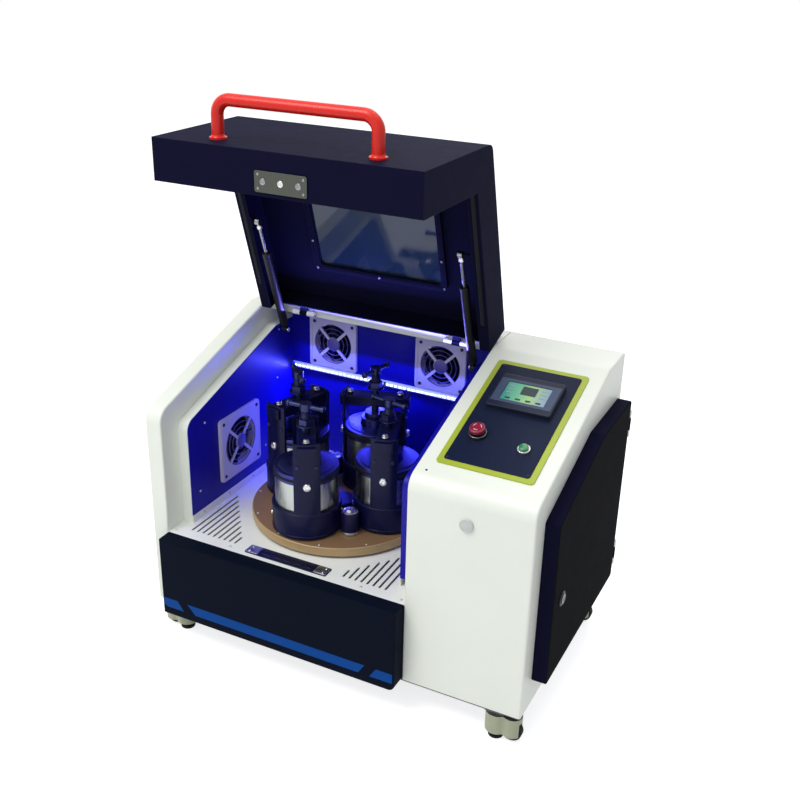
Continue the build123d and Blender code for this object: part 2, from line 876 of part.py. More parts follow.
save(lid_shell, "lid_shell")

with BuildPart() as window_glass:
    with BuildSketch(hood_plane(mill_x, window_mid, hood_sheet)):
        RectangleRounded(window_width + 11, window_length + 11, 11.5)
    extrude(amount=-glass_thickness)
save(window_glass, "window_glass")

handle_z = hood_bottom + handle_rise
handle_foot = opened(face_y - hood_proud, handle_z)
handle_end = opened(face_y - hood_proud - handle_height, handle_z)
handle_x = (mill_x - handle_width / 2, mill_x + handle_width / 2)

with BuildPart() as lid_handle:
    tube_bar(
        [
            (handle_x[0], *handle_foot),
            (handle_x[0], *handle_end),
            (handle_x[1], *handle_end),
            (handle_x[1], *handle_foot),
        ],
        handle_tube / 2,
        handle_corner,
    )
    for x in handle_x:
        with BuildSketch(Plane(origin=(x, *handle_foot), x_dir=(1, 0, 0), z_dir=(0, 0, 1))):
            Circle(handle_tube / 2 + 5)
        extrude(amount=4)
save(lid_handle, "lid_handle")

lock_width = 115
lock_depth = 41
lock_sheet = 2
lock_holes = 39
lock_mid = opened(face_y + hood_inner - 8 - lock_depth / 2, hood_bottom)

with BuildPart() as lock_plate:
    with BuildSketch(Plane(origin=(mill_x, *lock_mid), x_dir=(1, 0, 0), z_dir=(0, -1, 0))):
        RectangleRounded(lock_width, lock_depth, 4)
        with GridLocations(lock_holes, 1, 3, 1):
            Circle(3, mode=Mode.SUBTRACT)
    extrude(amount=lock_sheet)
save(lock_plate, "lock_plate")

# ---------------------------------------------------------------- gas struts

strut_length = hypot(strut_top[0] - strut_y, strut_top[1] - strut_z)
strut_dir = ((strut_top[0] - strut_y) / strut_length, (strut_top[1] - strut_z) / strut_length)
rod_buried = 165


def strut_plane(strut_x, along):
    """Plane square to the strut's axis, a distance along it from the lower pivot."""
    return Plane(
        origin=(strut_x, strut_y + along * strut_dir[0], strut_z + along * strut_dir[1]),
        x_dir=(1, 0, 0),
        z_dir=(0, strut_dir[0], strut_dir[1]),
    )


for strut_x, side in ((strut_left_x, "left"), (strut_right_x, "right")):
    with BuildPart() as strut_cylinder:
        with BuildSketch(strut_plane(strut_x, strut_eye_radius + 8)):
            Circle(strut_tube / 2)
        extrude(amount=strut_tube_length)
        with BuildSketch(strut_plane(strut_x, strut_eye_radius + 16)):
            Circle(strut_rod / 2 + fit_gap)
        extrude(amount=strut_tube_length, mode=Mode.SUBTRACT)
        with BuildSketch(strut_plane(strut_x, 0)):
            Rectangle(strut_eye_width, 9)
        extrude(amount=strut_eye_radius + 8)
        with BuildSketch(Plane.YZ.offset(strut_x - strut_eye_width / 2)):
            with Locations((strut_y, strut_z)):
                Circle(strut_eye_radius)
        extrude(amount=strut_eye_width)
        with BuildSketch(Plane.YZ.offset(strut_x - strut_eye_width)):
            with Locations((strut_y, strut_z)):
                Circle(strut_pin_radius + fit_gap)
        extrude(amount=2 * strut_eye_width, mode=Mode.SUBTRACT)
    save(strut_cylinder, f"strut_cylinder_{side}")

    with BuildPart() as strut_rod_part:
        with BuildSketch(strut_plane(strut_x, rod_buried)):
            Circle(strut_rod / 2)
        extrude(amount=strut_length - rod_buried - strut_eye_radius / 2)
        with BuildSketch(Plane.YZ.offset(strut_x - strut_eye_width / 2)):
            with Locations(strut_top):
                Circle(strut_eye_radius)
        extrude(amount=strut_eye_width)
    save(strut_rod_part, f"strut_rod_{side}")

# ---------------------------------------------------------------- drive under the deck

motor_pulley_width = 34
pulley_lip = 4
housing_radius = 55

with BuildPart() as spindle_housing:
    with BuildSketch(Plane.XY.offset(bridge_z)):
        with Locations((mill_x, mill_y)):
            RectangleRounded(bridge_size, bridge_size, 12)
    extrude(amount=10)
    with BuildSketch(Plane.XY.offset(bridge_z)):
        with Locations((mill_x, mill_y)):
            Circle(housing_radius)
    extrude(amount=gear_z - bridge_z)
    sun_plane = Plane((mill_x, mill_y, gear_z), (cos(radians(station_phase)), sin(radians(station_phase)), 0))
    with BuildSketch(sun_plane):
        Polygon(*gear_outline(sun_teeth, gear_backlash), align=None)
    extrude(amount=gear_face)
    with BuildSketch(Plane.XY.offset(bridge_z)):
        with Locations((mill_x, mill_y)):
            Circle(spindle_radius + fit_gap)
    extrude(amount=gear_z + gear_face - bridge_z, mode=Mode.SUBTRACT)
save(spindle_housing, "spindle_housing")

flange_z = gear_z + gear_face + running_gap
cap_radius = 32
cap_height = 10

with BuildPart() as main_spindle:
    with BuildSketch(Plane.XY.offset(shell_z + 9)):
        with Locations((mill_x, mill_y)):
            Circle(spindle_radius)
    extrude(amount=table_top - shell_z - 9)
    with BuildSketch(Plane.XY.offset(flange_z)):
        with Locations((mill_x, mill_y)):
            Circle(spindle_radius + 14)
    extrude(amount=turntable_z - flange_z)
    with BuildSketch(Plane.XY.offset(table_top)):
        with Locations((mill_x, mill_y)):
            Circle(cap_radius)
    extrude(amount=cap_height)
    chamfer(main_spindle.faces().sort_by(Axis.Z)[-1].edges(), 2)
    with BuildSketch(Plane.XY.offset(belt_z - pulley_lip)):
        with Locations((mill_x, mill_y)):
            Circle(driven_pulley_radius + belt_thickness + 2)
    extrude(amount=belt_width + 2 * pulley_lip)
    with BuildSketch(Plane.XY.offset(belt_z - 0.5)):
        with Locations((mill_x, mill_y)):
            Circle(driven_pulley_radius + belt_thickness + 3)
            Circle(driven_pulley_radius, mode=Mode.SUBTRACT)
    extrude(amount=belt_width + 1, mode=Mode.SUBTRACT)
save(main_spindle, "main_spindle")

shaft_radius = 12
motor_base_z = bridge_z
motor_plate = 10
motor_foot = 170

with BuildPart() as drive_motor:
    with BuildSketch(Plane.XY.offset(shell_z)):
        with Locations((motor_x, mill_y)):
            with GridLocations(motor_foot - 30, motor_foot - 30, 2, 2):
                Circle(10)
    extrude(amount=motor_base_z - shell_z)
    with BuildSketch(Plane.XY.offset(motor_base_z)):
        with Locations((motor_x, mill_y)):
            RectangleRounded(motor_foot, motor_foot, 10)
    extrude(amount=motor_plate)
    with BuildSketch(Plane.XY.offset(motor_base_z + motor_plate)):
        with Locations((motor_x, mill_y)):
            Circle(motor_radius)
    extrude(amount=motor_length)
    with BuildSketch(Plane.XY.offset(motor_base_z)):
        with Locations((motor_x, mill_y)):
            Circle(shaft_radius + fit_gap)
    extrude(amount=motor_plate + 40, mode=Mode.SUBTRACT)
    with BuildSketch(Plane.XY.offset(motor_base_z + motor_plate + 60)):
        with Locations((motor_x, mill_y)):
            with PolarLocations(motor_radius + 2, 16):
                Rectangle(10, 4)
    extrude(amount=motor_length - 90)
    with BuildSketch(Plane.XY.offset(motor_base_z + motor_plate + 90)):
        with Locations((motor_x, mill_y + motor_radius + 10)):
            Rectangle(70, 30)
    extrude(amount=60)
save(drive_motor, "drive_motor")

with BuildPart() as motor_pulley:
    with BuildSketch(Plane.XY.offset(belt_z - pulley_lip)):
        with Locations((motor_x, mill_y)):
            Circle(motor_pulley_radius + belt_thickness + 2)
    extrude(amount=belt_width + 2 * pulley_lip)
    with BuildSketch(Plane.XY.offset(belt_z - 0.5)):
        with Locations((motor_x, mill_y)):
            Circle(motor_pulley_radius + belt_thickness + 3)
            Circle(motor_pulley_radius, mode=Mode.SUBTRACT)
    extrude(amount=belt_width + 1, mode=Mode.SUBTRACT)
    with BuildSketch(Plane.XY.offset(belt_z - pulley_lip)):
        with Locations((motor_x, mill_y)):
            Circle(shaft_radius)
    extrude(amount=motor_base_z + motor_plate + 39 - belt_z + pulley_lip)
save(motor_pulley, "motor_pulley")


def belt_outline(extra):
    """Closed outline round both pulleys, a distance outside their grooves."""
    big = driven_pulley_radius + extra
    small = motor_pulley_radius + extra
    tilt = acos((big - small) / (motor_x - mill_x))
    with BuildSketch(Plane.XY.offset(belt_z)) as outline:
        with Locations((mill_x, mill_y)):
            Circle(big)
        with Locations((motor_x, mill_y)):
            Circle(small)
        with BuildLine():
            Polyline(
                (mill_x + big * cos(tilt), mill_y + big * sin(tilt)),
                (motor_x + small * cos(tilt), mill_y + small * sin(tilt)),
                (motor_x + small * cos(tilt), mill_y - small * sin(tilt)),
                (mill_x + big * cos(tilt), mill_y - big * sin(tilt)),
                close=True,
            )
        make_face()
    return outline.sketch


with BuildPart() as drive_belt:
    extrude(belt_outline(running_gap + belt_thickness - 1), amount=belt_width)
    extrude(belt_outline(running_gap), amount=belt_width, mode=Mode.SUBTRACT)
save(drive_belt, "drive_belt")

inverter_width = 120
inverter_height = 170
inverter_depth = 90
inverter_drop = 235

with BuildPart() as motor_inverter:
    with BuildSketch(Plane.XZ.offset(sheet - rear_y)):
        with Locations((cabinet_x + 20, top_z - inverter_drop)):
            Rectangle(inverter_width, inverter_height)
    extrude(amount=inverter_depth)
    fillet(motor_inverter.faces().sort_by(Axis.Y)[0].edges(), 5)
save(motor_inverter, "motor_inverter")

# ---------------------------------------------------------------- turntable

hub_radius = 45
post_bolt_radius = 9
post_bolt_height = 6

with BuildPart() as turntable:
    with BuildSketch(Plane.XY.offset(turntable_z)):
        with Locations((mill_x, mill_y)):
            Circle(turntable_radius)
    extrude(amount=turntable_thickness)
    chamfer(turntable.faces().sort_by(Axis.Z)[-1].edges(), 1.5)
    for index in range(station_count):
        with BuildSketch(station_plane(index, gear_z + gear_face + 6)):
            Circle(hub_radius)
        extrude(amount=turntable_z - gear_z - gear_face - 6)
        with BuildSketch(station_plane(index, gear_z + gear_face)):
            Circle(planet_shaft_radius + fit_gap)
        extrude(amount=table_top - gear_z, mode=Mode.SUBTRACT)
    with BuildSketch(Plane.XY.offset(turntable_z)):
        with Locations((mill_x, mill_y)):
            Circle(spindle_radius + fit_gap)
    extrude(amount=turntable_thickness, mode=Mode.SUBTRACT)
    post_spots = Plane((mill_x, mill_y, table_top))
    with BuildSketch(post_spots):
        with PolarLocations(post_orbit, station_count, start_angle=station_phase + 45):
            Circle(post_radius)
    extrude(amount=post_height)
    with BuildSketch(post_spots.offset(post_height)):
        with PolarLocations(post_orbit, station_count, start_angle=station_phase + 45):
            RegularPolygon(post_bolt_radius, 6)
    extrude(amount=post_bolt_height)
save(turntable, "turntable")

# ---------------------------------------------------------------- jar stations

slot_height = clamp_bar_height + 2

for index in range(station_count):
    turn = seat_turns[index]
    number = index + 1

    with BuildPart() as jar_seat:
        with BuildSketch(station_plane(index, gear_z, 180 / planet_teeth)):
            Polygon(*gear_outline(planet_teeth, gear_backlash), align=None)
        extrude(amount=gear_face)
        with BuildSketch(station_plane(index, gear_z + gear_face)):
            Circle(planet_shaft_radius + 8)
        extrude(amount=6 - running_gap)
        with BuildSketch(station_plane(index, gear_z + gear_face)):
            Circle(planet_shaft_radius)
        extrude(amount=seat_z - gear_z - gear_face)
        with BuildSketch(station_plane(index, table_top + running_gap)):
            Circle(planet_shaft_radius + 12)
        extrude(amount=seat_z - table_top - running_gap)
        with BuildSketch(station_plane(index, seat_z)):
            Circle(seat_radius)
        extrude(amount=cup_height)
        with BuildSketch(station_plane(index, seat_z + cup_height, turn)):
            Circle(seat_radius)
            Rectangle(2 * seat_radius, upright_width, mode=Mode.INTERSECT)
        extrude(amount=upright_height - cup_height)
        with BuildSketch(station_plane(index, jar_z)):
            Circle(seat_radius - seat_wall)
        extrude(amount=upright_height, mode=Mode.SUBTRACT)
        with BuildSketch(station_plane(index, clamp_z - 2, turn)):
            Rectangle(2 * seat_radius + 10, clamp_bar_width + 1)
        extrude(amount=slot_height, mode=Mode.SUBTRACT)
    save(jar_seat, f"jar_seat_{number}")

    with BuildPart() as grinding_jar:
        with BuildSketch(station_plane(index, jar_z)):
            Circle(jar_radius)
        extrude(amount=jar_height)
        chamfer(grinding_jar.faces().sort_by(Axis.Z)[0].edges(), 2)
        with BuildSketch(station_plane(index, jar_top)):
            Circle(jar_radius + 2)
        extrude(amount=jar_lid_height)
        fillet(grinding_jar.faces().sort_by(Axis.Z)[-1].edges(), 2)
        with BuildSketch(station_plane(index, jar_top + jar_lid_height)):
            Circle(jar_radius / 2)
        extrude(amount=jar_boss_height, taper=8)
    save(grinding_jar, f"grinding_jar_{number}")

    with BuildPart() as clamp_bar:
        with BuildSketch(station_plane(index, clamp_z, turn)):
            Circle(clamp_bar_reach)
            Rectangle(2 * clamp_bar_reach, clamp_bar_width, mode=Mode.INTERSECT)
        extrude(amount=clamp_bar_height)
        with BuildSketch(station_plane(index, clamp_z)):
            Circle(screw_radius + fit_gap)
        extrude(amount=clamp_bar_height, mode=Mode.SUBTRACT)
        with BuildSketch(station_plane(index, clamp_z + clamp_bar_height, turn)):
            with GridLocations(2 * seat_radius - 36, 1, 2, 1):
                Circle(6.5)
        extrude(amount=5)
    save(clamp_bar, f"clamp_bar_{number}")

    with BuildPart() as clamp_screw:
        with BuildSketch(station_plane(index, boss_top + 0.1)):
            Circle(screw_radius + 15)
        extrude(amount=12)
        with BuildSketch(station_plane(index, boss_top)):
            Circle(screw_radius)
        extrude(amount=clamp_z + clamp_bar_height + screw_rise - 14 - boss_top)
        with BuildSketch(station_plane(index, clamp_z + clamp_bar_height + running_gap + 20, turn)):
            RegularPolygon(17, 6)
        extrude(amount=14)
        with BuildSketch(station_plane(index, clamp_z + clamp_bar_height + screw_rise - 18)):
            Circle(screw_radius + 4)
        extrude(amount=16)
        tommy_plane = station_plane(index, clamp_z + clamp_bar_height + screw_rise - 10, turn + 60)
        tommy_side = Plane(tommy_plane.origin - tommy_plane.x_dir * tommy_length / 2, (0, 0, 1), tommy_plane.x_dir)
        with BuildSketch(tommy_side):
            Circle(tommy_radius)
        extrude(amount=tommy_length)
    save(clamp_screw, f"clamp_screw_{number}")

# ---------------------------------------------------------------- control panel

plate_mid = panel_start + panel_length / 2

with BuildPart() as control_faceplate:
    with BuildSketch(panel_plane(cabinet_x, plate_mid)):
        RectangleRounded(panel_width, panel_length, 6)
    extrude(amount=panel_thickness)
    for across, along in (estop_at, start_at):
        with BuildSketch(panel_plane(across, along)):
            Circle(button_bore)
        extrude(amount=panel_thickness, mode=Mode.SUBTRACT)
save(control_faceplate, "control_faceplate")

with BuildPart() as faceplate_frame:
    with BuildSketch(panel_plane(cabinet_x, plate_mid)):
        RectangleRounded(panel_width + 2 * panel_border, panel_length + 2 * panel_border, 8)
        RectangleRounded(panel_width, panel_length, 6, mode=Mode.SUBTRACT)
    extrude(amount=panel_thickness - 1)
save(faceplate_frame, "faceplate_frame")

outward = Axis(panel_plane(*screen_at).origin, panel_plane(*screen_at).z_dir)

with BuildPart() as touch_screen:
    with BuildSketch(panel_plane(*screen_at, panel_thickness)):
        RectangleRounded(screen_width, screen_height, 5)
    extrude(amount=screen_thickness)
    fillet(touch_screen.faces().sort_by(outward)[-1].edges(), 2)
    with BuildSketch(panel_plane(*screen_at, panel_thickness + screen_thickness)):
        Rectangle(display_width, display_height)
    extrude(amount=-1.5, mode=Mode.SUBTRACT)
save(touch_screen, "touch_screen")

collar_lift = panel_thickness + 7
collar_depth = 26
estop_stem = 8
estop_ring = 18
estop_radius = 16
estop_height = 8
start_stem = 10
start_ring = 13
stem_length = 18
button_float = 0.5
buttons = ((estop_at, estop_stem, estop_ring), (start_at, start_stem, start_ring))
plug_radius = 14
plug_drop = 67
inlet_rise = 60
inlet_at = (cabinet_x - 40, base_z + inlet_rise)
inlet_plane = Plane((inlet_at[0], rear_y, inlet_at[1]), (-1, 0, 0), (0, 1, 0))

with BuildPart() as panel_fittings:
    for (across, along), stem, ring in buttons:
        with BuildSketch(panel_plane(across, along, panel_thickness)):
            Circle(ring)
        extrude(amount=collar_lift - panel_thickness)
        with BuildSketch(panel_plane(across, along, panel_thickness)):
            Circle(button_bore - running_gap)
        extrude(amount=-collar_depth)
        with BuildSketch(panel_plane(across, along, collar_lift)):
            Circle(stem + fit_gap)
        extrude(amount=-collar_depth, mode=Mode.SUBTRACT)
    with BuildSketch(Plane((cabinet_x - 5, face_y, bend_z - plug_drop), (1, 0, 0), (0, -1, 0))):
        Circle(plug_radius)
    extrude(amount=4)
    with BuildSketch(inlet_plane):
        RectangleRounded(60, 46, 3)
    extrude(amount=rear_projection)
    with BuildSketch(inlet_plane.offset(rear_projection)):
        with Locations((-12, 0)):
            RectangleRounded(28, 22, 4)
    extrude(amount=1 - rear_projection, mode=Mode.SUBTRACT)
save(panel_fittings, "panel_fittings")

with BuildPart() as estop_button:
    with BuildSketch(panel_plane(*estop_at, collar_lift + button_travel + button_float)):
        Circle(estop_stem)
    extrude(amount=-stem_length)
    with BuildSketch(panel_plane(*estop_at, collar_lift + button_travel + button_float)):
        Circle(estop_radius)
    extrude(amount=estop_height)
    fillet(estop_button.faces().sort_by(outward)[-1].edges(), 3)
save(estop_button, "estop_button")

with BuildPart() as start_button:
    with BuildSketch(panel_plane(*start_at, collar_lift + button_travel)):
        Circle(start_stem)
    extrude(amount=-stem_length)
    chamfer(start_button.faces().sort_by(outward)[-1].edges(), 1)
save(start_button, "start_button")

# ---------------------------------------------------------------- side door

lock_radius = 11
lock_lug = 6

with BuildPart() as side_door:
    extrude(door_outline(right_x + running_gap, 0), amount=door_thickness - running_gap)
    door_outer = side_door.faces().sort_by(Axis.X)[-1]
    fillet(door_outer.edges(), 3)
    extrude(
        door_outline(right_x + running_gap, door_sheet),
        amount=door_thickness - running_gap - door_sheet,
        mode=Mode.SUBTRACT,
    )
    with BuildSketch(Plane.YZ.offset(outer_x)):
        with Locations(lock_at):
            Circle(lock_lug + fit_gap)
    extrude(amount=-2 * door_sheet, mode=Mode.SUBTRACT)
    for height in door_hinge_heights:
        with BuildSketch(Plane.XY.offset(height - door_hinge_length / 2 + 8.3)):
            with Locations((door_hinge_x, door_hinge_y)):
                Rectangle(5, 12, align=(Align.CENTER, Align.MAX))
                Circle(door_barrel)
                Circle(door_pin + fit_gap, mode=Mode.SUBTRACT)
        extrude(amount=door_hinge_length - 16.6)
save(side_door, "side_door")

with BuildPart() as door_lock:
    with BuildSketch(Plane.YZ.offset(outer_x + 0.1)):
        with Locations(lock_at):
            Circle(lock_radius)
            Rectangle(2.5, 9, mode=Mode.SUBTRACT)
    extrude(amount=lock_projection - 0.1)
    with BuildSketch(Plane.YZ.offset(outer_x + 1)):
        with Locations(lock_at):
            Circle(lock_lug)
    extrude(amount=-door_sheet - 9)
    with BuildSketch(Plane.YZ.offset(outer_x - door_sheet - 8)):
        with Locations(lock_at):
            Rectangle(14, 34, align=(Align.CENTER, Align.MIN))
    extrude(amount=3)
save(door_lock, "door_lock")

# ---------------------------------------------------------------- casters

race_height = 5
race_radius = 24
lobe_radius = 21
waist_radius = 6
wheel_gap = 1.5
fork_gap = caster_wheel_width + 2
yoke_top = base_z - caster_plate_sheet - running_gap
yoke_bottom = 17
axle_z = caster_wheel_radius + 2
axle_radius = 4
stem_radius = 9
disc_radius = 12
caster_names = ("front_left", "rear_left", "front_right", "rear_right")
caster_turns = (180, 180, 0, 0)

for (x, y), name, turn in zip(caster_points, caster_names, caster_turns):
    trail = Vector(cos(radians(turn)), sin(radians(turn)), 0)
    yoke_plane = Plane((x, y, 0), trail)
    wheel_plane = Plane(yoke_plane.origin + trail * caster_offset + (0, 0, axle_z), trail, yoke_plane.y_dir)

    with BuildPart() as caster_yoke:
        with BuildSketch(yoke_plane.offset(yoke_bottom)) as casting:
            Circle(race_radius)
            with Locations((caster_offset, 0)):
                Circle(lobe_radius)
            fillet(casting.vertices(), waist_radius)
        extrude(amount=yoke_top - race_height - yoke_bottom)
        chamfer(caster_yoke.faces().sort_by(Axis.Z)[-1].edges(), 3)
        with BuildSketch(yoke_plane.offset(yoke_top - race_height)):
            Circle(race_radius)
        extrude(amount=race_height)
        with BuildSketch(yoke_plane.offset(yoke_bottom)):
            with Locations((caster_offset - caster_wheel_radius - wheel_gap, 0)):
                Rectangle(2 * caster_offset, fork_gap, align=(Align.MIN, Align.CENTER))
        extrude(amount=axle_z + caster_wheel_radius + wheel_gap - yoke_bottom, mode=Mode.SUBTRACT)
        with BuildSketch(yoke_plane):
            Circle(caster_pad_radius)
        extrude(amount=7)
        with BuildSketch(yoke_plane.offset(7)):
            Circle(stem_radius)
        extrude(amount=yoke_bottom - 7)
        with BuildSketch(yoke_plane.offset(8)):
            Circle(disc_radius)
        extrude(amount=6)
        with BuildSketch(wheel_plane.offset(-fork_gap / 2 - 5)):
            Circle(axle_radius)
        extrude(amount=fork_gap + 10)
        with BuildSketch(yoke_plane.offset(yoke_top)):
            Circle(kingpin_radius + fit_gap)
        extrude(amount=-kingpin_length, mode=Mode.SUBTRACT)
    save(caster_yoke, f"caster_yoke_{name}")

    with BuildPart() as caster_wheel:
        with BuildSketch(wheel_plane.offset(-caster_wheel_width / 2)):
            Circle(caster_wheel_radius)
        extrude(amount=caster_wheel_width)
        chamfer(caster_wheel.edges().filter_by(GeomType.CIRCLE), 2)
        with BuildSketch(wheel_plane.offset(-caster_wheel_width / 2)):
            Circle(axle_radius + fit_gap)
        extrude(amount=caster_wheel_width, mode=Mode.SUBTRACT)
    save(caster_wheel, f"caster_wheel_{name}")
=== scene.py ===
import json
import math

import bmesh
import bpy
from mathutils import Matrix, Vector


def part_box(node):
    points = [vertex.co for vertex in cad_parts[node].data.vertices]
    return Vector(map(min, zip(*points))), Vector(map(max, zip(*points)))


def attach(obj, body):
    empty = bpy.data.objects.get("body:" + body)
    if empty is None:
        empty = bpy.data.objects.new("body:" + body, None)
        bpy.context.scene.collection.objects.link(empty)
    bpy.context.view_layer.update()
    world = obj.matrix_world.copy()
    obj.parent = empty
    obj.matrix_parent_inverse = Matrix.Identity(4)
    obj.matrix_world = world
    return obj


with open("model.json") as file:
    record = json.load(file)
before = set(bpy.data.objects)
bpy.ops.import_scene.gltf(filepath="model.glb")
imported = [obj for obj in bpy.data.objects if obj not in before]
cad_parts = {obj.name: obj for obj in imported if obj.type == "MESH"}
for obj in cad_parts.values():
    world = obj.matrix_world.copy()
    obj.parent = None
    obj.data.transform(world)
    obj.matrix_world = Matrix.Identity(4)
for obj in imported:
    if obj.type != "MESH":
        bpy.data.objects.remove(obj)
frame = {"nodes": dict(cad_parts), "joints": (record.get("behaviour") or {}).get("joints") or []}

# ---- places read from the frame
CAD = frame["nodes"]
JOINTS = {joint["name"]: joint for joint in frame["joints"]}
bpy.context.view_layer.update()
deck_lo, deck_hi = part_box("deck_plate")
front_lo, front_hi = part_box("front_panel")
cheek_lo, cheek_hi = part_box("left_cheek")
hood_lo, hood_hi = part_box("lid_shell")
led_lo, led_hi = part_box("led_strip")


def joint_at(name):
    return Vector(JOINTS[name]["pos_m"])


# sizes in metres that the frame's boxes don't state
BODY_WIDTH = 0.900
CREST_DEPTH = 0.110
CHEEK_LIFT = 0.005
CURB_HEIGHT = 0.018
PANEL_GAP, LINER_INSET = 0.002, 0.025
WALL_INSET = 0.024
TABLE_RISE = 0.026
TABLE_R = 0.208
STATION_PHASE = -98
SEAT_TURNS = (40, -62, -62, -97)
SEAT_R = 0.077
JAR_R = 0.070
POST_ORBIT = 0.137
HOOD_PROUD = 0.030
HOOD_DEPTH = 0.056
HANDLE_HALF = 0.176

HINGE = joint_at("lid_hinge")
MILL = joint_at("table_spin")
PRESS = Vector(JOINTS["estop_press"]["axis"])
SLOPE = math.atan2(PRESS.y, -PRESS.z)
FACE_Y, REAR_Y = cheek_lo.y, cheek_hi.y
BASE_Z = cheek_lo.z - CHEEK_LIFT
TOP_Z = cheek_hi.z
DECK_Z = deck_hi.z - CURB_HEIGHT
BEND_Z = TOP_Z - (REAR_Y - FACE_Y - CREST_DEPTH) * math.tan(SLOPE)
LEFT_X = cheek_lo.x
RIGHT_X = LEFT_X + BODY_WIDTH
CAB_X = (front_hi.x + RIGHT_X) / 2
CHAMBER_X = front_lo.x - PANEL_GAP + LINER_INSET
WALL_Y = REAR_Y - WALL_INSET
TABLE_TOP = DECK_Z + TABLE_RISE
UP, ACROSS = Vector((0, 0, 1)), Vector((1, 0, 0))
FRONT, REAR = Vector((0, -1, 0)), Vector((0, 1, 0))
PANEL_UP = Vector((0, -math.sin(SLOPE), math.cos(SLOPE)))
PANEL_ALONG = Vector((0, math.cos(SLOPE), math.sin(SLOPE)))
HOOD_OUT = Vector((0, math.cos(SLOPE), math.sin(SLOPE)))


def slope_point(across, along, lift=0.0):
    """Point on the cabinet's sloping front, along it from its lower bend."""
    return Vector((across, FACE_Y, BEND_Z)) + PANEL_ALONG * along + PANEL_UP * lift


def opened(y, z, x=0.0):
    """A point of the shut hood, turned to where the open hood has it."""
    return Vector((x, HINGE.y + (z - HINGE.z), HINGE.z - (y - HINGE.y)))


def hood_point(x, along, depth):
    """Point on the hood's slope, along it from the bend and below its skin."""
    bend_y = FACE_Y - HOOD_PROUD
    bend_z = BEND_Z - HOOD_PROUD * math.tan(SLOPE) + HOOD_PROUD / math.cos(SLOPE)
    y = bend_y + along * math.cos(SLOPE) + depth * math.sin(SLOPE)
    return opened(y, bend_z + along * math.sin(SLOPE) - depth * math.cos(SLOPE), x)


# ---- material kit
BEVEL_SAMPLES = 4
EDGE_HIGHLIGHT_DOT = 0.84
EDGE_HIGHLIGHT_REACH = 1.2
DRIFT_SCALE, SMEAR_SCALE = 9, 35
COAT_ROUGHNESS = 0.12
PAINT_RELIEF, METAL_RELIEF = 0.0004, 0.0003
METAL_BUMP = 0.08
WINDOW_CLEAR = 0.5
POLYCARBONATE_IOR = 1.49
SCREEN_GLOW = 0.14
MIX_FACTOR, MIX_BASE, MIX_OVER, MIX_RESULT = 0, 6, 7, 2


def srgb(code):
    """A hexadecimal colour in the linear values that the shaders take."""
    values = [int(code[i:i + 2], 16) / 255 for i in (1, 3, 5)]
    return tuple(v / 12.92 if v <= 0.04045 else ((v + 0.055) / 1.055) ** 2.4 for v in values)


def tree(name):
    """New material, its node tree and its shader."""
    material = bpy.data.materials.new(name)
    material.use_nodes = True
    t = material.node_tree
    return material, t, t.nodes["Principled BSDF"]


def put(made, values):
    """Set a node's sockets or settings by name."""
    for key, value in values.items():
        if key in made.inputs:
            made.inputs[key].default_value = value
        else:
            setattr(made, key, value)
    return made


def node(t, kind, **values):
    """New node, with its sockets or settings."""
    return put(t.nodes.new(kind), values)


def noise(t, scale, detail=3.0, rough=0.55, stretch=(1, 1, 1)):
    """Noise in the object's own coordinates, in metres."""
    coords = node(t, "ShaderNodeTexCoord")
    mapping = node(t, "ShaderNodeMapping", Scale=stretch)
    texture = node(t, "ShaderNodeTexNoise", Scale=scale, Detail=detail, Roughness=rough)
    t.links.new(coords.outputs["Object"], mapping.inputs["Vector"])
    t.links.new(mapping.outputs["Vector"], texture.inputs["Vector"])
    return texture.outputs["Fac"]


def ramp(t, factor, stops):
    """Colours along a factor, from (position, colour) stops."""
    made = node(t, "ShaderNodeValToRGB")
    while len(made.color_ramp.elements) < len(stops):
        made.color_ramp.elements.new(0.5)
    for element, (position, colour) in zip(made.color_ramp.elements, stops):
        element.position = position
        element.color = (*colour, 1)
    t.links.new(factor, made.inputs["Fac"])
    return made.outputs["Color"]


def spread(t, factor, low, high, start=0.3, end=0.7):
    """Map part of a factor, which is the middle of a noise unless given, to a range."""
    limits = {"From Min": start, "From Max": end, "To Min": low, "To Max": high}
    made = node(t, "ShaderNodeMapRange", **limits)
    t.links.new(factor, made.inputs["Value"])
    return made.outputs["Result"]


def painted_edge_highlight(t, radius, base, edge):
    """Painted highlight: blend to a paler colour along sharp edges, where light would catch them.
    """
    bevel = node(t, "ShaderNodeBevel", Radius=radius, samples=BEVEL_SAMPLES)
    geometry = node(t, "ShaderNodeNewGeometry")
    dot = node(t, "ShaderNodeVectorMath", operation="DOT_PRODUCT")
    t.links.new(bevel.outputs["Normal"], dot.inputs[0])
    t.links.new(geometry.outputs["Normal"], dot.inputs[1])
    mask = spread(t, dot.outputs["Value"], 0.0, 1.0, 1.0, EDGE_HIGHLIGHT_DOT)
    blend = node(t, "ShaderNodeMix", data_type="RGBA")
    t.links.new(mask, blend.inputs[MIX_FACTOR])
    t.links.new(base, blend.inputs[MIX_BASE])
    blend.inputs[MIX_OVER].default_value = (*edge, 1)
    return blend.outputs[MIX_RESULT]


def relief(t, shader, height, strength, distance, bevel):
    """Fine bump over edges softened by a bevel."""
    made = node(t, "ShaderNodeBump", Strength=strength, Distance=distance)
    soft = node(t, "ShaderNodeBevel", Radius=bevel, samples=BEVEL_SAMPLES)
    t.links.new(soft.outputs["Normal"], made.inputs["Normal"])
    t.links.new(height, made.inputs["Height"])
    t.links.new(made.outputs["Normal"], shader.inputs["Normal"])


def tones(t, factor, colour, vary):
    """One colour that drifts darker and lighter by a share."""
    dark = tuple(c * (1 - vary) for c in colour)
    light = tuple(min(1, c * (1 + vary)) for c in colour)
    return ramp(t, factor, [(0.3, dark), (0.7, light)])


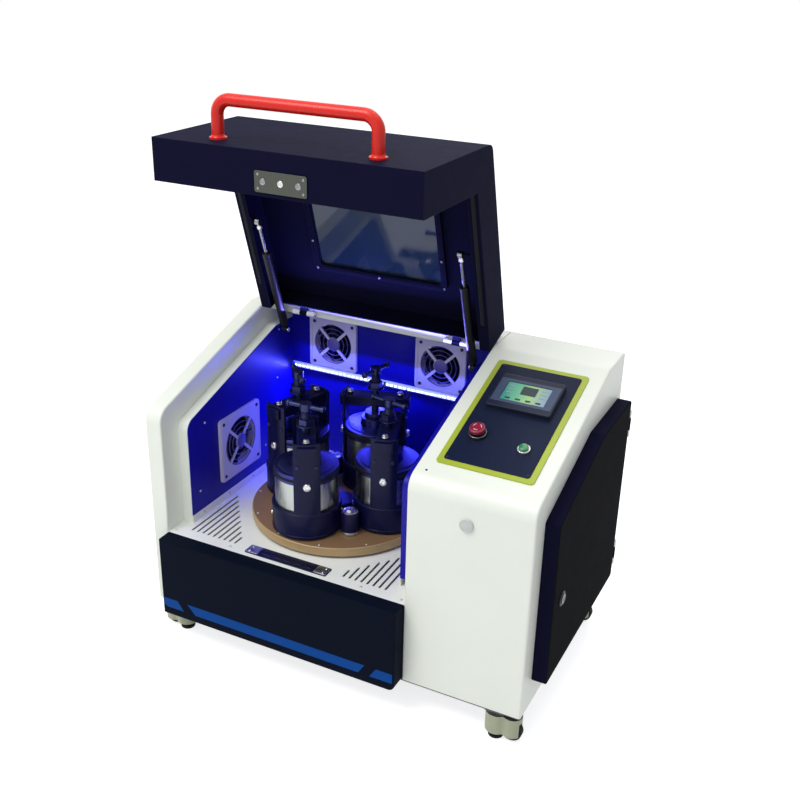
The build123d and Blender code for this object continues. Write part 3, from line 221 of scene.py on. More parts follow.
def paint(name, colour, rough=0.4, vary=0.05, grain=900, depth=0.12, bevel=0.0015,
          edge=None, coat=0.0, ior=1.5):
    """Powder coat, enamel or moulded plastic: orange peel, faint drift of colour, and a painted
    highlight of paler edges where an edge colour is given.
    """
    material, t, shader = tree(name)
    base = tones(t, noise(t, DRIFT_SCALE, 4), srgb(colour), vary)
    # painted highlight: the edges blend to a paler colour
    if edge:
        base = painted_edge_highlight(t, bevel * EDGE_HIGHLIGHT_REACH, base, srgb(edge))
    t.links.new(base, shader.inputs["Base Color"])
    smears = spread(t, noise(t, SMEAR_SCALE, 5), rough * 0.97, min(1, rough * 1.04))
    t.links.new(smears, shader.inputs["Roughness"])
    put(shader, {"Coat Weight": coat, "Coat Roughness": COAT_ROUGHNESS, "IOR": ior})
    relief(t, shader, noise(t, grain, 2), depth, PAINT_RELIEF, bevel)
    return material


def metal(name, colour, rough=0.3, stretch=(1, 1, 40), scale=60, bevel=0.0008, streak=0.12):
    """Machined or brushed metal with streaks along one direction."""
    material, t, shader = tree(name)
    streaks = noise(t, scale, 5, 0.6, stretch)
    t.links.new(tones(t, streaks, colour, streak), shader.inputs["Base Color"])
    put(shader, {"Metallic": 1.0})
    t.links.new(spread(t, streaks, rough * 0.75, rough * 1.3), shader.inputs["Roughness"])
    relief(t, shader, streaks, METAL_BUMP, METAL_RELIEF, bevel)
    return material


def emitter(name, colour, strength):
    """Lit plastic, a little uneven."""
    material, t, shader = tree(name)
    glow = tones(t, noise(t, 120, 2), colour, 0.1)
    t.links.new(glow, shader.inputs["Emission Color"])
    put(shader, {"Emission Strength": strength, "Base Color": (0.9, 0.95, 1.0, 1)})
    return material


def tinted_glass(name, colour):
    """Smoked blue polycarbonate, faintly cloudy."""
    material, t, shader = tree(name)
    t.links.new(tones(t, noise(t, 6, 3), colour, 0.25), shader.inputs["Base Color"])
    t.links.new(spread(t, noise(t, 60, 4), 0.04, 0.09), shader.inputs["Roughness"])
    put(shader, {"Transmission Weight": WINDOW_CLEAR, "IOR": POLYCARBONATE_IOR})
    return material


def display(name):
    """Screen picture: a band of colour from teal through yellow-green to pale blue."""
    material, t, shader = tree(name)
    coords = node(t, "ShaderNodeTexCoord")
    split = node(t, "ShaderNodeSeparateXYZ")
    t.links.new(coords.outputs["Generated"], split.inputs["Vector"])
    stops = [(0.0, "#3b8f86"), (0.35, "#5fae86"), (0.6, "#9cc07c"), (1.0, "#7f98b4")]
    picture = ramp(t, split.outputs["X"], [(at, srgb(code)) for at, code in stops])
    t.links.new(picture, shader.inputs["Emission Color"])
    t.links.new(picture, shader.inputs["Base Color"])
    put(shader, {"Emission Strength": SCREEN_GLOW})
    t.links.new(spread(t, noise(t, 90, 3), 0.12, 0.2), shader.inputs["Roughness"])
    return material


# ---- materials
# paint: colour, roughness, drift, grain scale, grain depth, edge radius, colour of the painted
# edge highlight
IVORY = paint("ivory_powder_coat", "#eef2e6", 0.42, 0.015, 700, 0.10, 0.002)
DECK = paint("deck_powder_coat", "#eceee8", 0.38, 0.02, 700, 0.10, 0.001)
HOOD = paint("hood_powder_coat", "#12132a", 0.62, 0.03, 600, 0.08, 0.0018, "#262838", ior=1.08)
FASCIA = paint("front_panel_enamel", "#0c1220", 0.5, 0.04, 500, 0.08, 0.002, "#1c2232",
               ior=1.08)
DOOR = paint("side_door_powder_coat", "#101113", 0.7, 0.03, 600, 0.08, 0.002, "#1b1d22",
             ior=1.05)
LINER = paint("liner_enamel", "#100d98", 0.4, 0.06, 400, 0.10, 0.001, ior=1.3)
STRIPE = paint("stripe_enamel", "#0e4690", 0.4, 0.05, 500, 0.06, 0.0003, ior=1.12)
RED = paint("handle_red_enamel", "#d81c0a", 0.34, 0.04, 300, 0.04, 0.001, coat=0.1, ior=1.4)
LIME = paint("lime_trim", "#a9b838", 0.4, 0.05, 700, 0.1, 0.0006)
FILM = paint("control_film", "#161f38", 0.4, 0.04, 1500, 0.08, 0.0005, ior=1.2)
BRONZE = paint("table_bronze", "#86684b", 0.42, 0.08, 300, 0.10, 0.0015, "#b0936a", ior=1.35)
# rim band painted pale gold: painted highlight along the turntable's edge
RIM_PAINTED_HIGHLIGHT = paint("table_rim_painted_highlight", "#b09468", 0.36, 0.06, 300, 0.10, 0.001, ior=1.45)
SEAT = paint("seat_blued_steel", "#0e1138", 0.3, 0.10, 260, 0.06, 0.001, "#20264e", 0.05, 1.22)
POST = paint("post_blued_steel", "#10123c", 0.34, 0.12, 260, 0.12, 0.001, "#23286a", 0.05, 1.3)
GREY = paint("frame_primer", "#5a5c60", 0.55, 0.08, 500, 0.15, 0.001)
MOTOR = paint("motor_paint", "#3a4a5c", 0.45, 0.06, 500, 0.15, 0.001)
CASTER = paint("caster_casting", "#a3a88c", 0.45, 0.06, 260, 0.2, 0.001)
BLACK = paint("black_plastic", "#101113", 0.45, 0.06, 1400, 0.08, 0.0008, ior=1.35)
RUBBER = paint("rubber", "#141517", 0.75, 0.12, 700, 0.3, 0.0008, ior=1.3)
CASE = paint("electronics_case", "#3c3e42", 0.5, 0.06, 1400, 0.08, 0.0008)
# white fan plastic tinted lilac: painted blue light from the chamber LEDs
FAN_PAINTED_BLUE_LIGHT = paint("fan_plastic", "#c9c4e4", 0.42, 0.03, 1400, 0.08, 0.0008)
FAN_WIRE = paint("fan_guard_wire", "#5b57a8", 0.35, 0.04, 1400, 0.05, 0.0003)
FAN_DARK = paint("fan_rotor_plastic", "#0d0c38", 0.45, 0.08, 1400, 0.08, 0.0008, ior=1.25)
FILTER = paint("fan_filter_mesh", "#08081e", 0.8, 0.3, 2400, 0.6, 0.0003, ior=1.1)
BEZEL = paint("screen_bezel", "#1a2036", 0.35, 0.05, 1400, 0.08, 0.0008, "#39435f", ior=1.3)
WINDOW_BAND = paint("screen_glass_band", "#46526c", 0.25, 0.04, 1400, 0.03, 0.0004, ior=1.3)
ESTOP = paint("estop_red", "#8c1a3a", 0.3, 0.04, 1400, 0.03, 0.001, coat=0.2)
ESTOP_MARK = paint("estop_marks", "#f2d9dc", 0.4, 0.05, 1400, 0.05, 0.0005)
GREEN = paint("start_green", "#2c8452", 0.28, 0.05, 1400, 0.03, 0.0005, coat=0.5)
PALE = paint("pale_plug_plastic", "#c9ccc6", 0.4, 0.03, 1400, 0.08, 0.0008)
WIDGET = paint("screen_widget", "#3a464c", 0.3, 0.05, 1400, 0.03, 0.0003, ior=1.3)
WIDGET_LIGHT = paint("screen_widget_light", "#86a79a", 0.3, 0.05, 1400, 0.03, 0.0003)
# metal: colour, roughness, stretch of the streaks and their scale
STEEL = metal("bright_steel", (0.62, 0.62, 0.63), 0.28)
PLATE = metal("lock_plate_steel", (0.085, 0.092, 0.078), 0.36, (40, 1, 1))
JAR = metal("jar_brushed_steel", (0.40, 0.42, 0.41), 0.3, (1, 1, 0.05), 110, streak=0.07)
# lid steel coloured dark blue: painted reflection of the blue-lit chamber
JAR_LID_PAINTED_REFLECTION = metal("jar_lid_steel_painted_reflection", (0.04, 0.045, 0.19), 0.36, (1, 1, 1), 90, streak=0.08)
DARK_STEEL = metal("dark_steel", (0.035, 0.04, 0.11), 0.36)
CHROME = metal("chrome", (0.72, 0.72, 0.73), 0.14, (1, 1, 1), 40, streak=0.03)
ROD = metal("strut_rod_steel", (0.27, 0.27, 0.29), 0.26)
# light: colour and strength
LED = emitter("led_diffuser", (0.10, 0.16, 1.0), 0.8)
LED_GLOW = emitter("led_lens_glow", (0.72, 0.88, 1.0), 3.5)
GLASS = tinted_glass("window_polycarbonate", (0.014, 0.030, 0.068))
DISPLAY = display("screen_display")

CAD_MATERIALS = {
    "base_frame": GREY, "left_cheek": IVORY, "control_cabinet": IVORY, "rear_panel": IVORY,
    "deck_plate": DECK, "front_panel": FASCIA, "chamber_liner": LINER, "led_strip": LED,
    "latch_receiver": DARK_STEEL, "control_faceplate": FILM, "faceplate_frame": LIME,
    "touch_screen": BEZEL, "panel_fittings": STEEL, "fan_frames": FAN_PAINTED_BLUE_LIGHT, "motor_inverter": CASE,
    "drive_motor": MOTOR, "drive_belt": RUBBER, "spindle_housing": DARK_STEEL,
    "motor_pulley": STEEL, "turntable": BRONZE, "main_spindle": DARK_STEEL, "lid_shell": HOOD,
    "window_glass": GLASS, "lid_handle": RED, "lock_plate": PLATE, "estop_button": ESTOP,
    "start_button": GREEN, "side_door": DOOR, "door_lock": PLATE,
}
for side in ("left", "right"):
    CAD_MATERIALS.update({f"strut_cylinder_{side}": BLACK, f"strut_rod_{side}": ROD})
for place in ("rear_left", "rear_right", "side"):
    CAD_MATERIALS[f"fan_rotor_{place}"] = FAN_DARK
STATIONS = (1, 2, 3, 4)
for number in STATIONS:
    CAD_MATERIALS.update({f"jar_seat_{number}": SEAT, f"grinding_jar_{number}": JAR})
    CAD_MATERIALS.update({f"clamp_bar_{number}": SEAT, f"clamp_screw_{number}": DARK_STEEL})
CORNERS = ("front_left", "rear_left", "front_right", "rear_right")
for corner in CORNERS:
    CAD_MATERIALS.update({f"caster_yoke_{corner}": CASTER, f"caster_wheel_{corner}": RUBBER})
CAD_SHARP, PIECE_SHARP = math.radians(28), math.radians(35)


def smoothed(mesh, angle):
    """Shade a mesh smooth, but for the edges sharper than an angle."""
    for polygon in mesh.polygons:
        polygon.use_smooth = True
    mesh.set_sharp_from_angle(angle=angle)


for name, ob in CAD.items():
    ob.data.materials.clear()
    ob.data.materials.append(CAD_MATERIALS[name])
    smoothed(ob.data, CAD_SHARP)

RIM_WIDTH, RIM_DROP = 0.002, 0.0001
POST_FOOT_Z = TABLE_TOP + 0.0005
POST_HEAD_Z = TABLE_TOP + 0.0521
JAR_LID_Z = TABLE_TOP + 0.134
SWIVEL_PLATE_Z = BASE_Z - 0.0125
PAD_TOP_Z = 0.0165


def recolour(name, material, chosen):
    """Give a CAD node a further material on the faces that a test chooses."""
    mesh = CAD[name].data
    mesh.materials.append(material)
    for polygon in mesh.polygons:
        if chosen(polygon):
            polygon.material_index = len(mesh.materials) - 1


def on_rim(polygon):
    """Whether a face of the turntable lies on its rim band, painted paler than the bronze as a
    highlight.
    """
    centre = polygon.center
    reach = math.hypot(centre.x - MILL.x, centre.y - MILL.y)
    return reach > TABLE_R - RIM_WIDTH and centre.z < TABLE_TOP - RIM_DROP


recolour("side_door", HOOD, lambda polygon: abs(polygon.normal.x) < 0.5)
# the rim band takes the pale gold of the painted highlight
recolour("turntable", RIM_PAINTED_HIGHLIGHT, on_rim)
recolour("turntable", POST, lambda polygon: polygon.center.z > POST_FOOT_Z)
recolour("turntable", STEEL, lambda polygon: polygon.center.z > POST_HEAD_Z)
for corner in CORNERS:
    recolour(f"caster_yoke_{corner}", BLACK,
             lambda polygon: polygon.center.z > SWIVEL_PLATE_Z or polygon.center.z < PAD_TOP_Z)
for number in STATIONS:
    # lid faces take the lid steel, whose blue is a painted reflection
    recolour(f"grinding_jar_{number}", JAR_LID_PAINTED_REFLECTION, lambda polygon: polygon.center.z > JAR_LID_Z)


# ---- mesh kit
def placed(name, data):
    """New object in the scene."""
    ob = bpy.data.objects.new(name, data)
    bpy.context.scene.collection.objects.link(ob)
    return ob


def piece(name, bm, material, body, smooth=True):
    """Finish a mesh, give it its material and let it ride on a body."""
    mesh = bpy.data.meshes.new(name)
    bmesh.ops.recalc_face_normals(bm, faces=bm.faces)
    bm.to_mesh(mesh)
    bm.free()
    mesh.materials.append(material)
    if smooth:
        smoothed(mesh, PIECE_SHARP)
    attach(placed(name, mesh), body)


def turned(direction, x=None):
    """Rotation whose Z is a direction and whose X is near x."""
    z = Vector(direction).normalized()
    x = Vector(x) if x else (ACROSS if abs(z.x) < 0.9 else REAR)
    y = z.cross(x).normalized()
    return Matrix((y.cross(z).normalized(), y, z)).transposed().to_4x4()


def bridge(bm, first, second):
    """Quads between two closed loops."""
    count = len(first)
    for k in range(count):
        bm.faces.new((first[k], first[(k + 1) % count], second[(k + 1) % count], second[k]))


def stack(bm, loops, closed=True):
    """Skin through loops, capped at both ends."""
    for first, second in zip(loops, loops[1:]):
        bridge(bm, first, second)
    if closed:
        bm.faces.new(list(reversed(loops[0])))
        bm.faces.new(loops[-1])


def circle(count):
    """Points on the unit circle."""
    angles = [2 * math.pi * k / count for k in range(count)]
    return [(math.cos(a), math.sin(a)) for a in angles]


def lathe(bm, profile, at, axis, steps=32):
    """Turned form: profile is (radius, height) from bottom to top."""
    m = Matrix.Translation(at) @ turned(axis)
    around = circle(steps)
    loops = [[bm.verts.new(m @ Vector((r * c, r * s, h))) for c, s in around] for r, h in profile]
    stack(bm, loops)


def band(bm, radius, at, low, high, axis=UP, proud=0.0008, steps=64):
    """Raised ring round a shaft, with softened edges."""
    soft, crown = proud * 0.8, radius + proud
    profile = [(radius, low), (crown, low + soft), (crown, high - soft), (radius, high)]
    lathe(bm, profile, at, axis, steps)


def ring_tube(bm, radius, thickness, at, axis, steps=48, sides=6):
    """Round wire ring."""
    m = Matrix.Translation(at) @ turned(axis)
    loops = []
    for c, s in circle(steps):
        wire = [(radius + thickness * a, thickness * b) for a, b in circle(sides)]
        loops.append([bm.verts.new(m @ Vector((r * c, r * s, h))) for r, h in wire])
    stack(bm, loops + loops[:1], closed=False)


def wire(bm, points, radius, sides=6):
    """Round wire through points."""
    loops = []
    for k, point in enumerate(points):
        heading = points[min(k + 1, len(points) - 1)] - points[max(k - 1, 0)]
        m = Matrix.Translation(point) @ turned(heading)
        section = circle(sides)
        loops.append([bm.verts.new(m @ Vector((radius * c, radius * s, 0))) for c, s in section])
    stack(bm, loops)


def slab(bm, outline, at, axis, x, low, high, inset=0.0):
    """Prism of a plane outline, with a small chamfer round its top where inset is given."""
    m = Matrix.Translation(at) @ turned(axis, x)
    levels = [(low, 0.0), (high - inset, 0.0), (high, inset)]
    if not inset:
        levels = [(low, 0.0), (high, 0.0)]
    loops = []
    for height, cut in levels:
        flat = [Vector(p) * (1 - cut / max(Vector(p).length, 1e-6)) for p in outline]
        loops.append([bm.verts.new(m @ Vector((p.x, p.y, height))) for p in flat])
    stack(bm, loops)


def rounded(width, height, radius, steps=5):
    """Outline of a rectangle with rounded corners."""
    corners = ((1, 1, 0), (-1, 1, 90), (-1, -1, 180), (1, -1, 270))
    points = []
    for sx, sy, start in corners:
        for k in range(steps + 1):
            a = math.radians(start + 90 * k / steps)
            centre = (sx * (width / 2 - radius), sy * (height / 2 - radius))
            points.append((centre[0] + radius * math.cos(a), centre[1] + radius * math.sin(a)))
    return points


def frame_strip(bm, width, height, radius, margin, at, axis, x, low, high):
    """Flat rounded-rectangle frame of a given band width."""
    m = Matrix.Translation(at) @ turned(axis, x)
    outer = rounded(width, height, radius)
    inner = rounded(width - 2 * margin, height - 2 * margin, max(radius - margin, 0.0005))
    levels = ((outer, low), (outer, high), (inner, high), (inner, low))
    loops = [[bm.verts.new(m @ Vector((px, py, h))) for px, py in points] for points, h in levels]
    stack(bm, loops + loops[:1], closed=False)


def screw(bm, at, axis, radius=0.003, height=0.0016):
    """Button-head screw with a recessed socket."""
    head = [(radius, 0), (radius, height * 0.35), (radius * 0.8, height * 0.85)]
    socket = [(radius * 0.48, height), (radius * 0.42, height * 0.55), (0.0001, height * 0.5)]
    lathe(bm, head + socket, at, axis, 16)


def bolt(bm, at, axis, across, height):
    """Hexagon head over a washer."""
    washer = across * 0.68
    lathe(bm, [(washer, 0), (washer, height * 0.2), (washer * 0.9, height * 0.22)], at, axis, 24)
    corner = across / math.sqrt(3)
    head = [(corner, height * 0.2), (corner, height * 0.9), (corner * 0.88, height)]
    lathe(bm, head, at, axis, 6)


# ---- camera, stage and light
AZIMUTH, ELEVATION, ROLL = math.radians(26.14), math.radians(24.11), math.radians(1.43)
TARGET = Vector((-0.0455, 0.147, 0.522))
DISTANCE = 2.466
FOCAL_PIXELS = 1064.9
FRAME_PIXELS = 800
SENSOR_WIDTH = 36
FAR_END = 60
flat = math.cos(ELEVATION)
back = Vector((math.sin(AZIMUTH) * flat, -math.cos(AZIMUTH) * flat, math.sin(ELEVATION)))
level = Vector((math.cos(AZIMUTH), math.sin(AZIMUTH), 0))
plumb = back.cross(level)
right = level * math.cos(ROLL) + plumb * math.sin(ROLL)
upward = plumb * math.cos(ROLL) - level * math.sin(ROLL)
lens = bpy.data.cameras.new("camera")
camera = placed("camera", lens)
facing = Matrix((right, upward, back)).transposed().to_4x4()
camera.matrix_world = Matrix.Translation(TARGET + back * DISTANCE) @ facing
lens.sensor_width = SENSOR_WIDTH
lens.lens = FOCAL_PIXELS / FRAME_PIXELS * lens.sensor_width
lens.clip_end = FAR_END
bpy.context.scene.camera = camera
bpy.context.scene.view_settings.view_transform = "Standard"


def seen_directly(t):
    """1 for rays that show the background: straight, in a mirror or through glass."""
    path = node(t, "ShaderNodeLightPath")
    found = path.outputs["Is Camera Ray"]
    for ray in ("Is Glossy Ray", "Is Transmission Ray"):
        either = node(t, "ShaderNodeMath", operation="MAXIMUM")
        t.links.new(found, either.inputs[0])
        t.links.new(path.outputs[ray], either.inputs[1])
        found = either.outputs["Value"]
    return found


STUDIO_STRENGTH = 0.52
FLOOR_GLOW = 0.72
world = bpy.data.worlds.new("studio")
bpy.context.scene.world = world
world.use_nodes = True
t = world.node_tree
studio = t.nodes["Background"]
put(studio, {"Color": (0.92, 0.94, 1.0, 1), "Strength": STUDIO_STRENGTH})
white = node(t, "ShaderNodeBackground", Color=(1, 1, 1, 1), Strength=1.0)
mixed = node(t, "ShaderNodeMixShader")
t.links.new(seen_directly(t), mixed.inputs["Fac"])
t.links.new(studio.outputs["Background"], mixed.inputs[1])
t.links.new(white.outputs["Background"], mixed.inputs[2])
t.links.new(mixed.outputs["Shader"], t.nodes["World Output"].inputs["Surface"])

FLOOR_HALF = 6
FLOOR_DROP = 0.0003
bm = bmesh.new()
for x, y in ((-1, -1), (1, -1), (1, 1), (-1, 1)):
    bm.verts.new((x * FLOOR_HALF, y * FLOOR_HALF, -FLOOR_DROP))
bm.faces.new(bm.verts)
mesh = bpy.data.meshes.new("floor")
bm.to_mesh(mesh)
bm.free()
floor = placed("floor", mesh)
material, t, shader = tree("floor")
put(shader, {"Base Color": (0.86, 0.86, 0.87, 1), "Roughness": 0.9,
             "Specular IOR Level": 0.1, "Emission Color": (1, 1, 1, 1)})
glow = node(t, "ShaderNodeMath", operation="MULTIPLY")
glow.inputs[1].default_value = FLOOR_GLOW
t.links.new(seen_directly(t), glow.inputs[0])
t.links.new(glow.outputs["Value"], shader.inputs["Emission Strength"])
mesh.materials.append(material)


def area(name, at, target, size, power, color=(1, 1, 1), size_y=None):
    """Rectangular lamp in watts, facing a target."""
    light = bpy.data.lights.new(name, "AREA")
    light.shape = "RECTANGLE"
    light.size = size
    light.size_y = size_y or size
    light.energy = power
    light.color = color
    lamp = placed(name, light)
    lamp.matrix_world = Matrix.Translation(at) @ turned(Vector(at) - Vector(target))


# the studio's lamps: place, target, side, power and colour
STUDIO_LAMPS = (
    ("key", (-1.1, -1.8, 3.5), (0, 0, 0.5), 1.8, 73),
    ("fill", (0.2, -2.8, 1.6), (0, 0, 0.4), 1.6, 4, (0.96, 0.98, 1.0)),
    ("top", (0.3, 0.3, 3.2), (0, 0, 0.5), 2.2, 18),
    ("rim", (-0.6, 2.6, 2.2), (0, 0, 0.6), 1.6, 10),
)
for values in STUDIO_LAMPS:
    area(*values)

# the chamber's own light: down into it, over its rear wall and up into the hood
LED_MID = (led_lo + led_hi) / 2
LED_LENGTH = led_hi.x - led_lo.x
LED_BLUE, WASH_BLUE, GLOW_BLUE = (0.07, 0.07, 1.0), (0.08, 0.10, 1.0), (0.22, 0.20, 1.0)
LED_POWER, WASH_POWER, GLOW_POWER = 2.6, 0.2, 1.7
LED_WIDTH, GLOW_WIDTH = 0.010, 0.02
LED_SIDE, GLOW_SIDE = LED_LENGTH - 0.02, LED_LENGTH - 0.05
led_at = (LED_MID.x, led_lo.y - 0.003, LED_MID.z)
led_target = (MILL.x, MILL.y, DECK_Z + 0.1)
area("chamber_leds", led_at, led_target, LED_SIDE, LED_POWER, LED_BLUE, LED_WIDTH)
wash_at = (LED_MID.x, led_lo.y - 0.02, led_hi.z + 0.05)
wash_target = (LED_MID.x, WALL_Y, DECK_Z + 0.2)
area("chamber_wash", wash_at, wash_target, GLOW_SIDE, WASH_POWER, WASH_BLUE, GLOW_WIDTH)
glow_at = (LED_MID.x, 0.17, TOP_Z - 0.02)
glow_target = (MILL.x, 0.10, 1.0)
area("hood_glow", glow_at, glow_target, GLOW_SIDE, GLOW_POWER, GLOW_BLUE, GLOW_WIDTH)


# ---- front panel stripe
DECAL_PROUD = 0.0004
STRIPE_LOW, STRIPE_HIGH = 0.018, 0.041
STRIPE_START, STRIPE_END = 0.003, 0.004
STRIPE_CORNER = (0.009, 0.006)
# the stripe's two slanted gaps: their edges' places at the foot, then at the top
LEFT_GAP = (0.101, 0.133, 0.085, 0.112)
RIGHT_GAP = (0.551, 0.578, 0.566, 0.593)


def front_decal(name, corners):
    """Painted patch on the front panel, from its corners' x and z."""
    bm = bmesh.new()
    levels = (0, DECAL_PROUD)
    loops = [[bm.verts.new((x, front_lo.y - out, z)) for x, z in corners] for out in levels]
    bridge(bm, *loops)
    bm.faces.new(loops[1])
    piece(name, bm, STRIPE, "cabinet", False)


low, high = BASE_Z + STRIPE_LOW, BASE_Z + STRIPE_HIGH
start, end = front_lo.x + STRIPE_START, front_hi.x - STRIPE_END
corner = [(start, low + STRIPE_CORNER[1]), (start + STRIPE_CORNER[0], low)]
left_foot, long_foot, left_top, long_top = (LEFT_X + x for x in LEFT_GAP)
long_end, right_foot, long_end_top, right_top = (LEFT_X + x for x in RIGHT_GAP)
front_decal("stripe_left", corner + [(left_foot, low), (left_top, high), (start, high)])
long_corners = [(long_foot, low), (long_end, low), (long_end_top, high), (long_top, high)]
front_decal("stripe_long", long_corners)
front_decal("stripe_right", [(right_foot, low), (end, low), (end, high), (right_top, high)])

# ---- deck and latch receiver
LATCH = Vector((MILL.x + 0.003, FACE_Y + 0.0265, DECK_Z))
END_PLATE = rounded(0.030, 0.027, 0.003)
END_PLATE_REACH, END_PLATE_LIFT = 0.0855, 0.0021
END_PLATE_THICK, END_PLATE_CHAMFER = 0.0011, 0.0004
END_SCREW_REACH, END_SCREW_APART, END_SCREW_LIFT = 0.0925, 0.008, 0.0032
END_SCREW, SKIRT_SCREW = (0.0026, 0.0010), (0.0026, 0.0012)
SLOT_FLOOR = rounded(0.139, 0.017, 0.002)
SLOT_PAD = rounded(0.018, 0.009, 0.001, 3)
SLOT_PITCH = 0.026
SLOT_LIFT, SLOT_THICK = 0.0001, 0.0005
PAD_LIFT, PAD_THICK, PAD_CHAMFER = 0.0004, 0.0006, 0.0002
DECK_SCREW_INSET, DECK_SCREW_DEPTH, DECK_SCREW_R = 0.012, 0.014, 0.0032
SKIRT_SCREWS, SKIRT_PROUD, SKIRT_RISE = (0.10, 0.20, 0.30, 0.40), 0.0025, 0.009
bm = bmesh.new()
for side in (-1, 1):
    end_at = LATCH + ACROSS * side * END_PLATE_REACH + UP * END_PLATE_LIFT
    slab(bm, END_PLATE, end_at, UP, ACROSS, 0, END_PLATE_THICK, END_PLATE_CHAMFER)
    for dy in (-END_SCREW_APART, END_SCREW_APART):
        at = LATCH + Vector((side * END_SCREW_REACH, dy, END_SCREW_LIFT))
        screw(bm, at, UP, *END_SCREW)
piece("latch_end_plates", bm, STEEL, "cabinet")
bm = bmesh.new()
slab(bm, SLOT_FLOOR, LATCH + UP * SLOT_LIFT, UP, ACROSS, 0, SLOT_THICK)
for k in range(-2, 3):
    at = LATCH + Vector((SLOT_PITCH * k, 0, PAD_LIFT))
    slab(bm, SLOT_PAD, at, UP, ACROSS, 0, PAD_THICK, PAD_CHAMFER)
piece("latch_slot_floor", bm, DARK_STEEL, "cabinet")
bm = bmesh.new()
deck_ends = (deck_lo.x + DECK_SCREW_INSET, deck_hi.x - DECK_SCREW_INSET)
for x in (deck_ends[0], LEFT_X + 0.200, MILL.x + 0.19, deck_ends[1]):
    screw(bm, (x, FACE_Y + DECK_SCREW_DEPTH, DECK_Z), UP, DECK_SCREW_R)
for y in SKIRT_SCREWS:
    at = (CHAMBER_X + SKIRT_PROUD, FACE_Y + y, DECK_Z + SKIRT_RISE)
    screw(bm, at, ACROSS, *SKIRT_SCREW)
piece("deck_screws", bm, STEEL, "cabinet")

# ---- chamber: LEDs, fans, screws
LED_LENSES = 44
LENS, CLIP = rounded(0.007, 0.0045, 0.0012, 3), rounded(0.008, 0.014, 0.001, 3)
LENS_MARGIN, LENS_THICK, LENS_CHAMFER = 0.010, 0.0007, 0.0002
CLIP_MARGIN, CLIP_PROUD, CLIP_THICK, CLIP_CHAMFER = 0.005, 0.0002, 0.0012, 0.0003
bm = bmesh.new()
for k in range(LED_LENSES):
    x = led_lo.x + LENS_MARGIN + (LED_LENGTH - 2 * LENS_MARGIN) * k / (LED_LENSES - 1)
    slab(bm, LENS, (x, led_lo.y, LED_MID.z), FRONT, ACROSS, 0, LENS_THICK, LENS_CHAMFER)
piece("led_lenses", bm, LED_GLOW, "cabinet")
bm = bmesh.new()
for x in (led_lo.x + CLIP_MARGIN, LED_MID.x, led_hi.x - CLIP_MARGIN):
    at = (x, led_lo.y - CLIP_PROUD, LED_MID.z)
    slab(bm, CLIP, at, FRONT, ACROSS, 0, CLIP_THICK, CLIP_CHAMFER)
piece("led_clips", bm, STEEL, "cabinet")

# each fan: its name, the way it faces, the way its frame lies, the frame's side, the bore's radius
FANS = (
    ("rear_left", FRONT, ACROSS, 0.131, 0.0511),
    ("rear_right", FRONT, ACROSS, 0.131, 0.0511),
    ("side", ACROSS, REAR, 0.160, 0.0608),
)
FAN_PROUD = 0.008
GUARD_RINGS = (0.34, 0.56, 0.78, 0.97)
GUARD_HUB = [(0.0168, -0.001), (0.0168, 0.0008), (0.0150, 0.0018), (0.0001, 0.0020)]
GUARD_WIRE, GUARD_SINK = 0.0011, 0.001
FILTER_GAP, FILTER_BACK, FILTER_RIM, FILTER_FACE = 0.0006, -0.0230, -0.0222, -0.0220
FAN_SCREW_INSET, FAN_SCREW = 0.013, (0.0042, 0.0022)
FAN_RIM_MARGIN, FAN_RIM_CORNER, FAN_RIM_THICK = 0.004, 0.008, 0.0012
for place, outward, along, size, radius in FANS:
    rotor_lo, rotor_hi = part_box(f"fan_rotor_{place}")
    at = (rotor_lo + rotor_hi) / 2
    if place == "side":
        at.x = CHAMBER_X + FAN_PROUD
    else:
        at.y = WALL_Y - FAN_PROUD
    aside = outward.cross(along)
    bm = bmesh.new()
    for share in GUARD_RINGS:
        ring_tube(bm, radius * share, GUARD_WIRE, at - outward * GUARD_SINK, outward, 56)
    lathe(bm, GUARD_HUB, at, outward, 36)
    piece(f"fan_guard_{place}", bm, FAN_WIRE, "cabinet")
    bm = bmesh.new()
    edge = radius - FILTER_GAP
    disc = [(edge, FILTER_BACK), (edge, FILTER_RIM), (radius * 0.4, FILTER_FACE)]
    lathe(bm, disc, at, outward, 48)
    piece(f"fan_filter_{place}", bm, FILTER, "cabinet")
    bm = bmesh.new()
    reach = size / 2 - FAN_SCREW_INSET
    for a in (-1, 1):
        for b in (-1, 1):
            screw(bm, at + along * a * reach + aside * b * reach, outward, *FAN_SCREW)
    piece(f"fan_screws_{place}", bm, DARK_STEEL, "cabinet")
    bm = bmesh.new()
    rim_side = size - FAN_RIM_MARGIN
    frame_strip(bm, rim_side, rim_side, FAN_RIM_CORNER, FAN_RIM_MARGIN, at, outward, along,
                0, FAN_RIM_THICK)
    piece(f"fan_rim_{place}", bm, FAN_PAINTED_BLUE_LIGHT, "cabinet")

SIDE_LINER_SCREWS = ((0.09, 0.26), (0.36, 0.26), (0.47, 0.30), (0.42, 0.42), (0.12, 0.42))
REAR_LINER_SCREWS, REAR_LINER_Z, REAR_LINER_INSET = (0.02, 0.26, 0.50), 0.28, 0.005
LINER_THICK = 0.002
bm = bmesh.new()
for y, z in SIDE_LINER_SCREWS:
    screw(bm, (CHAMBER_X + LINER_THICK, FACE_Y + y, BASE_Z + z), ACROSS)
for x in REAR_LINER_SCREWS:
    at = (CHAMBER_X + REAR_LINER_INSET + x, WALL_Y - LINER_THICK, BASE_Z + REAR_LINER_Z)
    screw(bm, at, FRONT)
piece("liner_screws", bm, STEEL, "cabinet")

